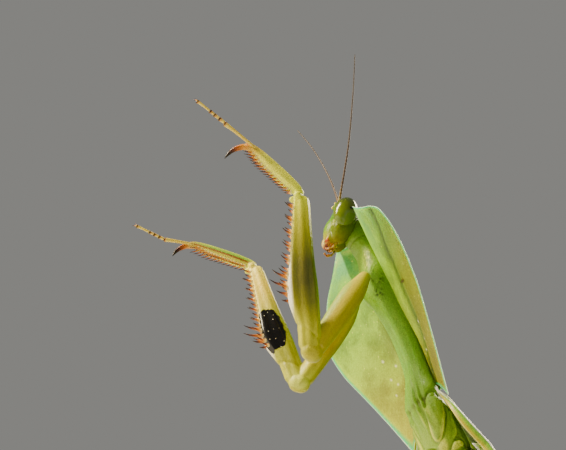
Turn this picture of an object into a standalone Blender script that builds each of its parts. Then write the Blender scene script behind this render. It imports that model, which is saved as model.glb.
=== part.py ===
"""Praying mantis (shield mantis), life size, as a still museum-style model.

The animal stands on its four hind legs with the shield-bearing front body reared up and
both raptorial forelegs raised. Lengths below are in millimetres; MM turns them into metres.
Every node is one closed solid and keeps a small gap to its neighbours.
"""
import math

import bpy
import bmesh
import numpy as np
from mathutils import Matrix, Vector

for old in list(bpy.data.objects):
    bpy.data.objects.remove(old, do_unlink=True)

MM = 0.001

# ---- driving sizes (mm) -------------------------------------------------------------
SHIELD_LENGTH = 28.0          # pronotum, front corner to rear lobe
SHIELD_HALF_WIDTH = 16.1      # at the shoulders
SHIELD_THICKNESS = 0.6
SHIELD_ROLL = math.tan(math.radians(1.25))   # its left side hangs a little lower
COXA_LENGTH = 14.0            # foreleg
FEMUR_LENGTH = 19.6
TIBIA_LENGTH = 7.9
CLAW_LENGTH = 3.6
BASITARSUS_LENGTH = 5.9
TARSUS_END_LENGTH = 4.7
TEGMEN_LENGTH = 45.0
TEGMEN_HALF_WIDTH = 11.5
ABDOMEN_LENGTH = 30.0
GAP = 0.12                    # between neighbouring solids, on each side of a joint

# ---- stance (degrees) ---------------------------------------------------------------
FRONT_PITCH = 57.0            # front body above the floor
REAR_PITCH = 45.0             # abdomen and wings
LEAN = 16.0                   # the whole animal leans to its right
SHIELD_HEIGHT = 54.6          # mid front margin of the shield above the floor (mm)
NECK_JOINT = (-27.5, 0.0, 3.0)  # where the rear body meets the front body, in its frame


def attitude(pitch, lean):
    """World directions of an animal's forward, left and dorsal axes, as a matrix."""
    p, a = math.radians(pitch), math.radians(lean)
    upright = Matrix(((0, 1, 0), (-math.cos(p), 0, math.sin(p)), (math.sin(p), 0, math.cos(p))))
    tilt = Matrix(((math.cos(a), 0, -math.sin(a)), (0, 1, 0), (math.sin(a), 0, math.cos(a))))
    return tilt @ upright


FRONT = Matrix.Translation((0, 0, SHIELD_HEIGHT)) @ attitude(FRONT_PITCH, LEAN).to_4x4()
REAR = (Matrix.Translation(FRONT @ Vector(NECK_JOINT))
        @ attitude(REAR_PITCH, LEAN).to_4x4())
HEAD = Matrix.Translation(FRONT @ Vector((1.75, 0.0, 1.65))) @ attitude(-4.0, 8.0).to_4x4()
WORLD = Matrix.Identity(4)


# ---- materials ----------------------------------------------------------------------
def linear(code):
    """sRGB hex colour as linear RGBA."""
    c = [int(code[i:i + 2], 16) / 255 for i in (0, 2, 4)]
    return [v / 12.92 if v <= 0.04045 else ((v + 0.055) / 1.055) ** 2.4 for v in c] + [1.0]


def material(name, code, roughness=0.45):
    mat = bpy.data.materials.new(name)
    mat.use_nodes = True
    shader = mat.node_tree.nodes["Principled BSDF"]
    shader.inputs["Base Color"].default_value = linear(code)
    shader.inputs["Roughness"].default_value = roughness
    shader.inputs["Metallic"].default_value = 0.0
    return mat


collection = bpy.data.collections.new("praying_mantis")
bpy.context.scene.collection.children.link(collection)


# ---- mesh helpers -------------------------------------------------------------------
def node(name, verts, faces, code, roughness=0.45, frame=FRONT):
    """One closed node from vertices (mm, in the given frame) and faces."""
    mesh = bpy.data.meshes.new(name)
    mesh.from_pydata([(frame @ Vector(v)) * MM for v in verts], [], faces)
    bm = bmesh.new()
    bm.from_mesh(mesh)
    bmesh.ops.recalc_face_normals(bm, faces=bm.faces)
    bm.to_mesh(mesh)
    bm.free()
    obj = bpy.data.objects.new(name, mesh)
    collection.objects.link(obj)
    mesh.materials.append(material(name + "_surface", code, roughness))
    return obj


def smooth(rows, count):
    """Rows of numbers resampled to count rows along a Catmull-Rom curve."""
    rows = np.array(rows, float)
    padded = np.vstack((2 * rows[0] - rows[1], rows, 2 * rows[-1] - rows[-2]))
    out = []
    for t in np.linspace(0, len(rows) - 1, count):
        i = min(int(t), len(rows) - 2)
        u = t - i
        a, b, c, d = padded[i:i + 4]
        out.append(0.5 * (2 * b + (c - a) * u + (2 * a - 5 * b + 4 * c - d) * u ** 2
                          + (3 * b - a - 3 * c + d) * u ** 3))
    return np.array(out)


def at(rows, x):
    """Value at x from (x, value) rows, eased between them."""
    for (x0, v0), (x1, v1) in zip(rows[:-1], rows[1:]):
        if x <= x1 or (x1, v1) == tuple(rows[-1]):
            t = min(max((x - x0) / (x1 - x0), 0.0), 1.0)
            return v0 + (v1 - v0) * t
    return rows[-1][1]


def limb(name, path, sizes, code, up, sides=10, count=12, frame=FRONT, spines=(),
         roughness=0.45, floor=None):
    """Rounded tube: centre points, (half width, half height) at each, and a dorsal side.

    spines: (first ring, last ring, step, side index, length, lean) rows; each spine is a
    pyramid raised on one face, so that it stays part of the same closed solid.
    """
    rows = smooth([tuple(p) + tuple(s) for p, s in zip(path, sizes)], count)
    centres = [Vector(r[:3]) for r in rows]
    verts, faces = [], []
    for i, r in enumerate(rows):
        ahead = (centres[min(i + 1, count - 1)] - centres[max(i - 1, 0)]).normalized()
        side = Vector(up).cross(ahead).normalized()
        top = ahead.cross(side)
        for k in range(sides):
            a = 2 * math.pi * (k + 0.5) / sides
            v = centres[i] + side * (r[3] * math.cos(a)) + top * (r[4] * math.sin(a))
            if floor is not None:
                v.z = max(v.z, floor)
            verts.append(v)
    raised = {}
    for first, last, step, k, length, lean in spines:
        for i in range(first, last, step):
            raised[(i, k)] = (length, lean)
    for i in range(count - 1):
        for k in range(sides):
            quad = [i * sides + k, i * sides + (k + 1) % sides,
                    (i + 1) * sides + (k + 1) % sides, (i + 1) * sides + k]
            if (i, k) in raised:
                length, lean = raised[(i, k)]
                mid = sum((verts[q] for q in quad), Vector()) / 4
                axis = (centres[i] + centres[i + 1]) / 2
                out = (mid - axis).normalized()
                along = (centres[i + 1] - centres[i]).normalized()
                verts.append(mid + (out + along * lean).normalized() * length)
                tip = len(verts) - 1
                faces += [(quad[j], quad[(j + 1) % 4], tip) for j in range(4)]
            else:
                faces.append(quad)
    faces.append(list(range(sides))[::-1])
    faces.append([(count - 1) * sides + k for k in range(sides)])
    return node(name, verts, faces, code, roughness, frame)


def plate(name, point, thickness, rows, columns, code, frame=FRONT, roughness=0.4):
    """Thin closed plate; point(u, v) is on its lower face, thickness is along the dorsal."""
    verts = []
    for layer in (0, 1):
        for i in range(rows + 1):
            for j in range(columns + 1):
                p = point(i / rows, 2 * j / columns - 1)
                verts.append((p[0], p[1], p[2] + layer * thickness))
    width = columns + 1
    size = (rows + 1) * width
    faces = []
    for i in range(rows):
        for j in range(columns):
            a, b = i * width + j, (i + 1) * width + j
            faces += [(a, b, b + 1, a + 1), (size + a, size + a + 1, size + b + 1, size + b)]
    rim = ([j for j in range(width)] + [i * width + columns for i in range(1, rows + 1)]
           + [rows * width + j for j in range(columns - 1, -1, -1)]
           + [i * width for i in range(rows - 1, 0, -1)])
    for a, b in zip(rim, rim[1:] + rim[:1]):
        faces.append((a, b, size + b, size + a))
    return node(name, verts, faces, code, roughness, frame)


def ellipsoid(name, centre, radii, code, frame, turn=(0, 0, 0), roughness=0.2, rings=12):
    bm = bmesh.new()
    bmesh.ops.create_uvsphere(bm, u_segments=rings + 2, v_segments=rings, radius=1.0)
    place = (Matrix.Translation(centre) @ Matrix.Rotation(math.radians(turn[2]), 4, "Z")
             @ Matrix.Rotation(math.radians(turn[1]), 4, "Y")
             @ Matrix.Rotation(math.radians(turn[0]), 4, "X") @ Matrix.Diagonal((*radii, 1)))
    bm.transform(place)
    verts = [v.co.copy() for v in bm.verts]
    faces = [[v.index for v in f.verts] for f in bm.faces]
    bm.free()
    return node(name, verts, faces, code, roughness, frame)


def toward(out, up):
    """Unit vector in an animal frame: degrees outward from forward, degrees dorsal."""
    o, u = math.radians(out), math.radians(up)
    return Vector((math.cos(u) * math.cos(o), math.cos(u) * math.sin(o), math.sin(u)))


def carve(obj, other, grow):
    """Cut a slightly grown copy of another node out of obj."""
    cutter = other.copy()
    cutter.data = other.data.copy()
    cutter.name = "cut_" + obj.name + "_" + other.name
    bm = bmesh.new()
    bm.from_mesh(cutter.data)
    bm.normal_update()
    moves = [(v, v.normal * grow * MM) for v in bm.verts]
    for v, move in moves:
        v.co += move
    bm.to_mesh(cutter.data)
    bm.free()
    collection.objects.link(cutter)
    cutter.hide_render = True
    cutter.display_type = "WIRE"
    cut = obj.modifiers.new("cut_" + other.name, "BOOLEAN")
    cut.operation = "DIFFERENCE"
    cut.solver = "EXACT"
    cut.object = cutter


# ---- shield (pronotum) --------------------------------------------------------------
MARGIN_WIDTH = [(0, 4.9), (2.2, 7.8), (4.4, 10.9), (6.4, 13.9), (8.0, 15.7), (9.6, 16.1),
                (12.3, 15.9), (16.2, 14.3), (20.1, 12.1), (24.1, 9.8), (28.0, 7.6)]
MARGIN_HEIGHT = [(0, 0.0), (2.2, -1.0), (4.4, -1.9), (7.5, -2.0), (12.3, -0.9), (20.1, 1.0),
                 (28.0, 2.3)]
BROW_WIDTH = [(0, 4.6), (8.0, 4.5), (12.0, 2.8), (28.0, 2.7)]
BROW_HEIGHT = [(0, 0.3), (6.0, 0.8), (9.0, 1.6), (11.2, 2.5), (15.2, 3.4), (18.4, 4.3),
               (28.0, 5.0)]
ROOF_HEIGHT = [(0, 3.7), (8.0, 4.5), (16.0, 4.85), (28.0, 5.2)]
REAR_NOTCH = 3.8


def shield_under(u, v):
    """Lower face of the shield: u from front to rear, v from right margin to left."""
    back = SHIELD_LENGTH * u
    notch = REAR_NOTCH * math.cos(math.pi / 2 * abs(v)) * max(0.0, (u - 0.6) / 0.4) ** 2
    x = back - notch
    half = at(MARGIN_WIDTH, back) * SHIELD_HALF_WIDTH / 16.1
    brow, brow_z = at(BROW_WIDTH, x), at(BROW_HEIGHT, x)
    brow = min(brow, half - 0.2)
    y = v * half
    if abs(y) < brow:
        roof = at(ROOF_HEIGHT, x)
        z = brow_z + (roof - brow_z) * (1 - (y / brow) ** 2) ** 0.6
    else:
        s = (abs(y) - brow) / (half - brow)
        z = brow_z + (at(MARGIN_HEIGHT, back) - brow_z) * s ** 1.1
    return -x, y, z - y * SHIELD_ROLL


plate("pronotum_shield", shield_under, SHIELD_THICKNESS, 16, 20, "a9bd3f")

# ---- front body ---------------------------------------------------------------------
limb("prothorax", [(-2.0, 0, 1.9), (-4.5, 0, 1.9), (-8.7, 0, 1.9), (-12.0, 0, 2.6),
                   (-15.5, 0, 3.2), (-21.0, 0, 3.35), (-25.0, 0, 3.4), (-26.6, 0, 3.4)],
     [(1.7, 1.3), (2.5, 1.7), (3.1, 2.0), (2.7, 1.6), (2.1, 1.1), (2.0, 1.15), (2.3, 1.2),
      (1.8, 0.9)], "5f8a14", (0, 0, 1), sides=12, count=16)
neck = limb("neck", [(0.9, 0, 1.3), (-0.4, 0, 1.6), (-1.6, 0, 1.85)],
            [(1.1, 0.9), (1.4, 1.2), (1.45, 1.15)], "6b8f12", (0, 0, 1), sides=12, count=6)

# ---- head: upright, facing forward --------------------------------------------------
head = limb("head", [(1.25, 0, 1.15), (1.2, 0, 0.75), (1.15, 0, -0.8), (1.1, 0, -2.8),
                     (1.15, 0, -4.3), (1.35, 0, -5.25)],
            [(1.5, 0.55), (2.6, 1.15), (3.0, 1.65), (2.2, 1.7), (1.6, 1.4), (1.0, 0.75)],
            "7d9a1c", (1, 0, 0), sides=16, count=14, frame=HEAD)
eyes = []
for side, sign in (("left", 1), ("right", -1)):
    eyes.append(ellipsoid("eye_" + side, (1.05, sign * 2.95, -0.85), (1.5, 1.25, 1.85),
                          "8a9a2a", HEAD, turn=(sign * 14, 0, 0), rings=10))
for other in eyes + [neck]:
    carve(head, other, 0.12)
limb("mouthparts", [(1.4, 0, -5.5), (1.4, 0, -5.85), (1.35, 0, -6.4)],
     [(0.85, 0.8), (0.9, 0.85), (0.4, 0.45)], "c77a2a", (1, 0, 0), sides=12, count=6,
     frame=HEAD)
ANTENNAE = {"left": ((0.18, 0.22, 0.94), 21.3), "right": ((0.43, -0.45, 0.78), 21.0)}
for side, sign in (("left", 1), ("right", -1)):
    aim, length = Vector(ANTENNAE[side][0]).normalized(), ANTENNAE[side][1]
    base = Vector((2.05, sign * 0.75, 1.3))
    sag = Vector((0.5, 0, -0.5)) * (1.0 if side == "left" else 2.2)
    points = [base, base + Vector((0.25, 0, 1.0)), base + aim * length * 0.35 - sag * 0.6,
              base + aim * length * 0.7 - sag * 0.5, base + aim * length]
    limb("antenna_" + side, points, [(0.34, 0.34), (0.3, 0.3), (0.27, 0.27), (0.26, 0.26),
                                     (0.25, 0.25)], "8a6b62", (1, 0.1, 0), sides=6, count=10,
         frame=HEAD)

# ---- forelegs -----------------------------------------------------------------------
FORE_BASE = (-9.1, 2.6, -0.6)
FORELEGS = {   # (degrees outward, degrees dorsal) of each segment, in the front body's frame
    "left": {"coxa": (169, -43), "femur": (14, 8), "tibia": (3, -31),
             "basitarsus": (27, -44), "tarsus": (15, -39)},
    "right": {"coxa": (179, -44), "femur": (10, -2), "tibia": (15, -51),
              "basitarsus": (2, -61), "tarsus": (39, -31)},
}


def mirrored(v, sign):
    return Vector((v[0], v[1] * sign, v[2]))


for side, sign in (("left", 1), ("right", -1)):
    aim = {part: mirrored(toward(*angles), sign) for part, angles in FORELEGS[side].items()}
    base = mirrored(FORE_BASE, sign)
    hip = base + aim["coxa"] * COXA_LENGTH
    knee = hip + aim["femur"] * FEMUR_LENGTH
    heel = knee + aim["tibia"] * TIBIA_LENGTH
    inner = (aim["tibia"] - aim["femur"] * aim["tibia"].dot(aim["femur"])).normalized()

    coxa_up = (aim["femur"] - aim["coxa"] * aim["femur"].dot(aim["coxa"])).normalized()
    start, end = base + aim["coxa"] * 0.3, hip - aim["coxa"] * 1.35
    limb("fore_coxa_" + side,
         [start, start.lerp(end, 0.12), start.lerp(end, 0.45), start.lerp(end, 0.82), end],
         [(0.8, 0.8), (1.25, 1.3), (1.3, 1.45), (0.95, 1.0), (0.6, 0.65)],
         "b5ab3a", coxa_up, sides=10, count=10)
    ellipsoid("fore_trochanter_" + side, hip, (1.05, 1.0, 1.0), "a9b02e", FRONT, rings=8,
              roughness=0.45)
    start, end = hip + aim["femur"] * 1.25, knee - aim["femur"] * 0.75
    limb("fore_femur_" + side,
         [start + inner * 0.2, start.lerp(end, 0.13) + inner * 0.25,
          start.lerp(end, 0.37) + inner * 0.65, start.lerp(end, 0.58) + inner * 0.5,
          start.lerp(end, 0.9) + inner * 0.05, end],
         [(0.6, 0.65), (0.9, 1.05), (1.05, 1.95), (0.9, 1.4), (0.7, 1.05), (0.5, 0.7)],
         "a3b52c", -inner, sides=12, count=22, spines=((6, 11, 2, 9, 2.0, 0.0),
                                                         (12, 20, 2, 8, 0.9, 0.1),
                                                         (7, 20, 2, 8, 0.7, 0.0)))
    start = knee + aim["tibia"] * 0.35
    claw = (inner * 0.95 - aim["femur"] * 0.3).normalized()
    tibia_up = (aim["tibia"] * claw.dot(aim["tibia"]) - claw).normalized()
    hook = [heel + aim["tibia"] * 0.9 + claw * 0.1, heel + aim["tibia"] * 1.25 + claw * 1.5,
            heel + aim["tibia"] * 0.5 + claw * CLAW_LENGTH]
    limb("fore_tibia_" + side,
         [start, start.lerp(heel, 0.15), start.lerp(heel, 0.6), heel] + hook,
         [(0.45, 0.45), (0.6, 0.75), (0.55, 0.7), (0.5, 0.62), (0.42, 0.5), (0.32, 0.34),
          (0.25, 0.25)],
         "7fb22a", tibia_up, sides=8, count=22, spines=((3, 12, 1, 5, 0.8, 0.3),
                                                        (3, 12, 2, 6, 0.6, 0.3)))
    root = heel - aim["tibia"] * 0.8 + tibia_up * 1.05
    joint = root + aim["basitarsus"] * BASITARSUS_LENGTH
    tip = joint + aim["tarsus"] * TARSUS_END_LENGTH
    limb("fore_tarsus_" + side, [root, root.lerp(joint, 0.5), joint, joint.lerp(tip, 0.5), tip],
         [(0.26, 0.26), (0.3, 0.3), (0.32, 0.32), (0.3, 0.3), (0.26, 0.26)],
         "cbb45a", tibia_up, sides=8, count=10)

# ---- rear body ----------------------------------------------------------------------
limb("mesothorax", [(0.5, 0, 0.3), (-0.6, 0, 0.0), (-2.6, 0, -0.5), (-4.9, 0, -0.7)],
     [(1.7, 1.1), (2.5, 1.8), (3.1, 2.5), (2.9, 2.3)], "6f9c1c", (0, 0, 1), sides=14, count=7,
     frame=REAR)
limb("metathorax", [(-5.2, 0, -0.7), (-7.4, 0, -0.8), (-9.9, 0, -0.8)],
     [(2.9, 2.3), (3.3, 2.6), (3.2, 2.4)], "6f9c1c", (0, 0, 1), sides=14, count=6, frame=REAR)
limb("abdomen", [(-10.2, 0, -0.8), (-14, 0, -0.8), (-22, 0, -0.9), (-31, 0, -0.9),
                 (-37, 0, -0.7), (-10.2 - ABDOMEN_LENGTH, 0, -0.5)],
     [(3.2, 2.4), (4.4, 2.7), (5.6, 2.9), (4.9, 2.4), (2.7, 1.5), (1.0, 0.6)],
     "86a83a", (0, 0, 1), sides=14, count=15, frame=REAR)
for side, sign in (("left", 1), ("right", -1)):
    limb("cercus_" + side, [(-39.3, sign * 1.9, -0.6), (-41.0, sign * 2.6, -0.6),
                            (-43.0, sign * 2.9, -0.4)],
         [(0.3, 0.3), (0.5, 0.3), (0.26, 0.26)], "9aa84a", (0, 0, 1), sides=8, count=5,
         frame=REAR)

COSTAL_EDGE = [(0, 4.2), (2.0, 6.2), (10.0, 9.0), (18.0, 11.2), (25.0, 11.5), (33.0, 10.0),
               (39.0, 7.2), (43.0, 4.0), (45.0, 1.9)]
INNER_EDGE = [(0, 2.8), (4.0, 1.0), (12.0, -3.0), (34.0, -3.0), (41.0, -1.6), (45.0, 0.9)]


def roof(y):
    """Height of the folded wings over the rear body at a distance y from the middle."""
    return 2.75 - 2.9 * (abs(y) / 8.5) ** 1.6 * (1.0 if abs(y) < 8.5 else 8.5 / abs(y))


def tegmen(sign, lift):
    def under(u, v):
        back = TEGMEN_LENGTH * u
        outer, inner = at(COSTAL_EDGE, back), at(INNER_EDGE, back)
        y = inner + (outer - inner) * (v + 1) / 2
        fold = min(max((5.6 - y) / 2.2, 0.0), 1.0)
        rise = lift * fold * fold * (3 - 2 * fold)
        base = min(1.0, back / 9.0)
        return 1.8 - back, sign * y, roof(y) - 1.5 * (1 - base) + rise
    return under


plate("tegmen_left", tegmen(1, 0.8), 0.55, 18, 6, "9fb84a", frame=REAR)
plate("tegmen_right", tegmen(-1, 0.0), 0.55, 18, 6, "9fb84a", frame=REAR)


# ---- walking legs -------------------------------------------------------------------
def bent_knee(hip, foot, upper, lower, pole):
    """Knee of a two-segment leg between hip and foot, on the side of the pole."""
    line = foot - hip
    reach = min(line.length, upper + lower - 0.05)
    along = (upper ** 2 - lower ** 2 + reach ** 2) / (2 * reach)
    rise = math.sqrt(max(upper ** 2 - along ** 2, 0.0))
    ahead = line.normalized()
    side = (pole - ahead * pole.dot(ahead)).normalized()
    return hip + ahead * along + side * rise


ANKLE_HEIGHT = 1.3
LEGS = {   # coxa base in the rear frame, femur, tibia, tarsus lengths, ankle on the floor
    "mid": {"base": (-4.4, 2.4, -3.3), "coxa": (40, 30), "femur": 18.0, "tibia": 16.5,
            "tarsus": 8.5, "left": (24.5, 3.5), "right": (-12.0, 4.5), "toe": -62},
    "hind": {"base": (-8.0, 2.6, -3.3), "coxa": (40, -10), "femur": 21.0, "tibia": 21.5,
             "tarsus": 9.5, "left": (31.5, 43.0), "right": (-13.0, 43.5), "toe": 38},
}
for name, leg in LEGS.items():
    for side, sign in (("left", 1), ("right", -1)):
        base = REAR @ Vector((leg["base"][0], leg["base"][1] * sign, leg["base"][2]))
        spread, sweep = (math.radians(a) for a in leg["coxa"])
        hip = base + Vector((sign * math.sin(spread) * 0.8, -math.sin(sweep),
                             -math.cos(spread))).normalized() * 4.6
        ankle = Vector((*leg[side], ANKLE_HEIGHT))
        knee = bent_knee(hip, ankle, leg["femur"], leg["tibia"],
                         Vector((sign * 0.8, 0.25 if name == "hind" else -0.25, 1.0)))
        up = Vector((0, 0, 1)).cross(ankle - hip).normalized()
        for part, a, b, sizes, code in (
                ("coxa", base, hip, (1.0, 1.15, 0.8), "7d9c20"),
                ("femur", hip, knee, (0.75, 0.8, 0.5), "8aa82a"),
                ("tibia", knee, ankle, (0.45, 0.42, 0.4), "8fae34")):
            ahead = (b - a).normalized()
            limb(name + "_" + part + "_" + side,
                 [a + ahead * 0.45, a.lerp(b, 0.3), a.lerp(b, 0.75), b - ahead * 0.45],
                 [(sizes[0] * 0.8,) * 2, (sizes[0],) * 2, (sizes[1],) * 2, (sizes[2],) * 2],
                 code, up, sides=8, count=6, frame=WORLD)
        heading = math.radians(leg["toe"])
        run = Vector((sign * math.cos(heading), math.sin(heading), 0))
        limb(name + "_tarsus_" + side,
             [ankle + run * 0.75 + Vector((0, 0, -0.35)), ankle + run * 2.6 + Vector((0, 0, -0.9)),
              ankle + run * leg["tarsus"] * 0.6 + Vector((0, 0, -0.95)),
              ankle + run * leg["tarsus"] + Vector((0, 0, -0.98))],
             [(0.35, 0.35), (0.42, 0.42), (0.45, 0.4), (0.4, 0.34)], "b7b04a", (0, 0, 1), sides=8,
             count=8, frame=WORLD, floor=0.0)

# ---- stand the model over the world origin -----------------------------------------
bpy.context.view_layer.update()
solids = [o for o in collection.objects if not o.hide_render]
corners = [o.matrix_world @ Vector(c) for o in solids for c in o.bound_box]
middle = Vector([(min(c[i] for c in corners) + max(c[i] for c in corners)) / 2 for i in (0, 1)]
                + [0.0])
for o in collection.objects:
    o.location -= middle
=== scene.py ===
"""Looks of the shield mantis: a still, life-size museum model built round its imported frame."""
import math
import random
import bpy
import numpy as np
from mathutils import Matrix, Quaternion, Vector

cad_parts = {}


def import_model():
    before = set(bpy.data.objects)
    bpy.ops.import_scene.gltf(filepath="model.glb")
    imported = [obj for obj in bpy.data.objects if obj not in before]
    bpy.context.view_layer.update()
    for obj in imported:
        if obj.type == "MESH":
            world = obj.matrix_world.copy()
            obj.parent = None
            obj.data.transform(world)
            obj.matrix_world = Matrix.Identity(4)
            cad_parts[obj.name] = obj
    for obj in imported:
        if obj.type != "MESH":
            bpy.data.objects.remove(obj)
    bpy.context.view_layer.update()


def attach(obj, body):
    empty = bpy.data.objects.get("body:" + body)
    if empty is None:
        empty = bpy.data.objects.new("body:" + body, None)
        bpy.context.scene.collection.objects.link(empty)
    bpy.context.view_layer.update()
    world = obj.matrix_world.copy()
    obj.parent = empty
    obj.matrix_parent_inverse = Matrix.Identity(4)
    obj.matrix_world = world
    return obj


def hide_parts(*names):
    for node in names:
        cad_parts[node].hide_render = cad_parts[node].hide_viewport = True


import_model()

# ---- neck shield -----------------------------------------------------------------------
# The broad leaf-like plate over the neck: one sheet of chitin under half a millimetre thick,
# hooded along the middle, with a rolled rim and faint veins. Light shines through it.
MM = 0.001
SHIELD_LENGTH = 28.0
SHIELD_THICKNESS = 0.42
EDGE_THICKNESS = 0.08
RIM_RADIUS = 0.1
MARGIN_WIDTH = [(0, 4.9), (2.2, 7.8), (4.4, 10.9), (6.4, 13.9), (8.0, 15.7), (9.6, 16.1),
                (12.3, 15.9), (16.2, 14.3), (20.1, 12.1), (24.1, 9.8), (28.0, 7.6)]
MARGIN_HEIGHT = [(0, 0.1), (2.2, -0.8), (4.4, -1.6), (7.5, -1.65), (10.3, -1.0), (12.8, -0.4),
                 (15.3, 0.25), (16.8, 0.62), (20.1, 1.25), (28.0, 2.45)]
BROW_WIDTH = [(0, 4.6), (6.0, 4.7), (8.0, 4.4), (10.5, 3.6), (13.0, 2.9), (18.0, 2.7),
              (28.0, 2.7)]
BROW_HEIGHT = [(0, 0.3), (6.0, 0.8), (9.0, 1.45), (11.2, 2.1), (15.2, 2.9), (18.4, 3.35),
               (23.0, 3.6), (28.0, 3.7)]
ROOF_HEIGHT = [(0, 3.7), (8.0, 4.5), (16.0, 4.85), (28.0, 5.2)]
GROOVE_LINE = [(0, 1.1), (0.23, 0.87), (0.274, 0.62), (0.32, 0.44), (0.38, 0.36), (0.47, 0.29),
               (0.57, 0.25), (0.68, 0.19), (0.9, 0.03), (1.0, 0.0)]
REAR_NOTCH = 3.8
SPOT_PLACE = (-13.29, 8.02)   # of the dark spot under the left side, forward and left (mm)
FOLD_SHARE = 0.30             # of the sheet's grid, spent on the hood each side of the middle


def attitude(pitch, lean):
    """Forward, left and dorsal axes of a body part, as columns, from degrees."""
    p, a = math.radians(pitch), math.radians(lean)
    upright = np.array([[0, 1, 0], [-math.cos(p), 0, math.sin(p)],
                        [math.sin(p), 0, math.cos(p)]])
    tilt = np.array([[math.cos(a), 0, -math.sin(a)], [0, 1, 0],
                     [math.sin(a), 0, math.cos(a)]])
    return tilt @ upright


def world(points, place):
    """Points of a body part (mm) in the model's space (mm)."""
    axes, origin = place
    return np.asarray(points, float) @ axes.T + origin


LEAN = 16.0
FRONT = (attitude(57.0, LEAN), np.array([-9.25, -12.47, 54.6]))


def curve(rows, x):
    """Smooth line through (place, value, ...) rows, read at places x."""
    rows = np.asarray(rows, float)
    t, v = rows[:, 0], rows[:, 1:]
    slope = np.gradient(v, t, axis=0)
    x = np.clip(np.asarray(x, float), t[0], t[-1])
    i = np.clip(np.searchsorted(t, x, side="right") - 1, 0, len(t) - 2)
    h = (t[i + 1] - t[i])[..., None]
    s = (x - t[i])[..., None] / h
    value = ((2 * s ** 3 - 3 * s ** 2 + 1) * v[i] + (s ** 3 - 2 * s ** 2 + s) * h * slope[i]
             + (3 * s ** 2 - 2 * s ** 3) * v[i + 1] + (s ** 3 - s ** 2) * h * slope[i + 1])
    return value[..., 0] if v.shape[1] == 1 else value


def ease(low, high, x):
    """0 below low, 1 above high, smooth between."""
    t = np.clip((np.asarray(x, float) - low) / (high - low), 0, 1)
    return t * t * (3 - 2 * t)


def bell(x, wide):
    """1 at x = 0, falling to nothing on both sides over about twice wide."""
    return np.exp(-(x / wide) ** 2)


def slab(under, thick):
    """Closed sheet from its lower grid (rows x columns x 3) and thickness, 0 at the rim."""
    down = np.gradient(under, axis=0)
    along = np.gradient(under, axis=1)
    normal = np.cross(along, down)
    normal /= np.linalg.norm(normal, axis=2, keepdims=True)
    upper = under + normal * thick[..., None]
    rows, columns = under.shape[:2]
    low = np.arange(rows * columns).reshape(rows, columns)
    high = low + rows * columns
    for edge in (np.s_[0, :], np.s_[-1, :], np.s_[:, 0], np.s_[:, -1]):
        high[edge] = low[edge]
    faces = []
    for grid, turn in ((low, 1), (high, -1)):
        quads = np.stack((grid[:-1, :-1], grid[:-1, 1:], grid[1:, 1:], grid[1:, :-1]), -1)
        faces += [tuple(q[::turn]) for q in quads.reshape(-1, 4).tolist()]
    return np.concatenate((under.reshape(-1, 3), upper.reshape(-1, 3))), faces


def joined(parts):
    """Points and faces of several parts, which start with their points and faces, as one."""
    starts = np.cumsum([0] + [len(part[0]) for part in parts]).tolist()
    return (np.concatenate([part[0] for part in parts]),
            [tuple(i + start for i in face) for part, start in zip(parts, starts)
             for face in part[1]])


def piece(name, place, parts, materials, slot, *nodes):
    """One object from a body part's (points in mm, faces, {marks}, material number) parts."""
    points, faces = joined(parts)
    used = np.unique(np.concatenate(faces, axis=None))
    renumber = np.full(len(points), -1)
    renumber[used] = np.arange(len(used))
    mesh = bpy.data.meshes.new(name)
    mesh.from_pydata((world(points, place)[used] * MM).tolist(), [],
                     [tuple(renumber[list(face)].tolist()) for face in faces])
    for key in sorted({key for part in parts for key in part[2]}):
        values = np.concatenate([part[2].get(key, np.zeros(len(part[0]))) for part in parts])
        mark = mesh.attributes.new(key, "FLOAT", "POINT")
        mark.data.foreach_set("value", values[used].astype(np.float32))
    for material in materials:
        mesh.materials.append(material)
    mesh.polygons.foreach_set("material_index", [part[3] for part in parts for _ in part[1]])
    mesh.shade_smooth()
    obj = bpy.data.objects.new(name, mesh)
    bpy.context.scene.collection.objects.link(obj)
    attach(obj, "root")
    if nodes:
        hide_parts(*nodes)


def tint(code):
    """sRGB hex colour as linear RGBA."""
    c = [int(code[i:i + 2], 16) / 255 for i in (0, 2, 4)]
    return [v / 12.92 if v <= 0.04045 else ((v + 0.055) / 1.055) ** 2.4 for v in c] + [1.0]


def add(tree, kind, inputs=None, stops=None, **settings):
    """Adds a node with its settings and inputs; stops are a ramp's, {place: colour}.

    An input is a number, a socket, a node, (node or mark, stops) to read through a ramp, or
    text: a hex colour where the input takes a colour, else the name of a mark on the mesh.
    """
    new = tree.nodes.new("ShaderNode" + kind)
    if kind == "Mix" and 7 in inputs:
        new.data_type = "RGBA"
    for key, value in settings.items():
        setattr(new, key, value)
    for key, value in (inputs or {}).items():
        entry = new.inputs[key]
        if isinstance(value, tuple) and isinstance(value[-1], dict):
            value = add(tree, "ValToRGB", {0: value[0]}, value[1])
        if isinstance(value, str):
            value = (tint(value) if entry.type == "RGBA"
                     else add(tree, "Attribute", attribute_name=value))
        if isinstance(value, bpy.types.Node):
            value = value.outputs.get("Fac") or next(o for o in value.outputs if o.enabled)
        if isinstance(value, bpy.types.NodeSocket):
            tree.links.new(value, entry)
        else:
            entry.default_value = value
    for number, (position, code) in enumerate((stops or {}).items()):
        band = new.color_ramp.elements
        if number == 0:
            band.remove(band[1])
            band[0].position, band[0].color = position, tint(code)
        else:
            band.new(position).color = tint(code)
    return new


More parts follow.
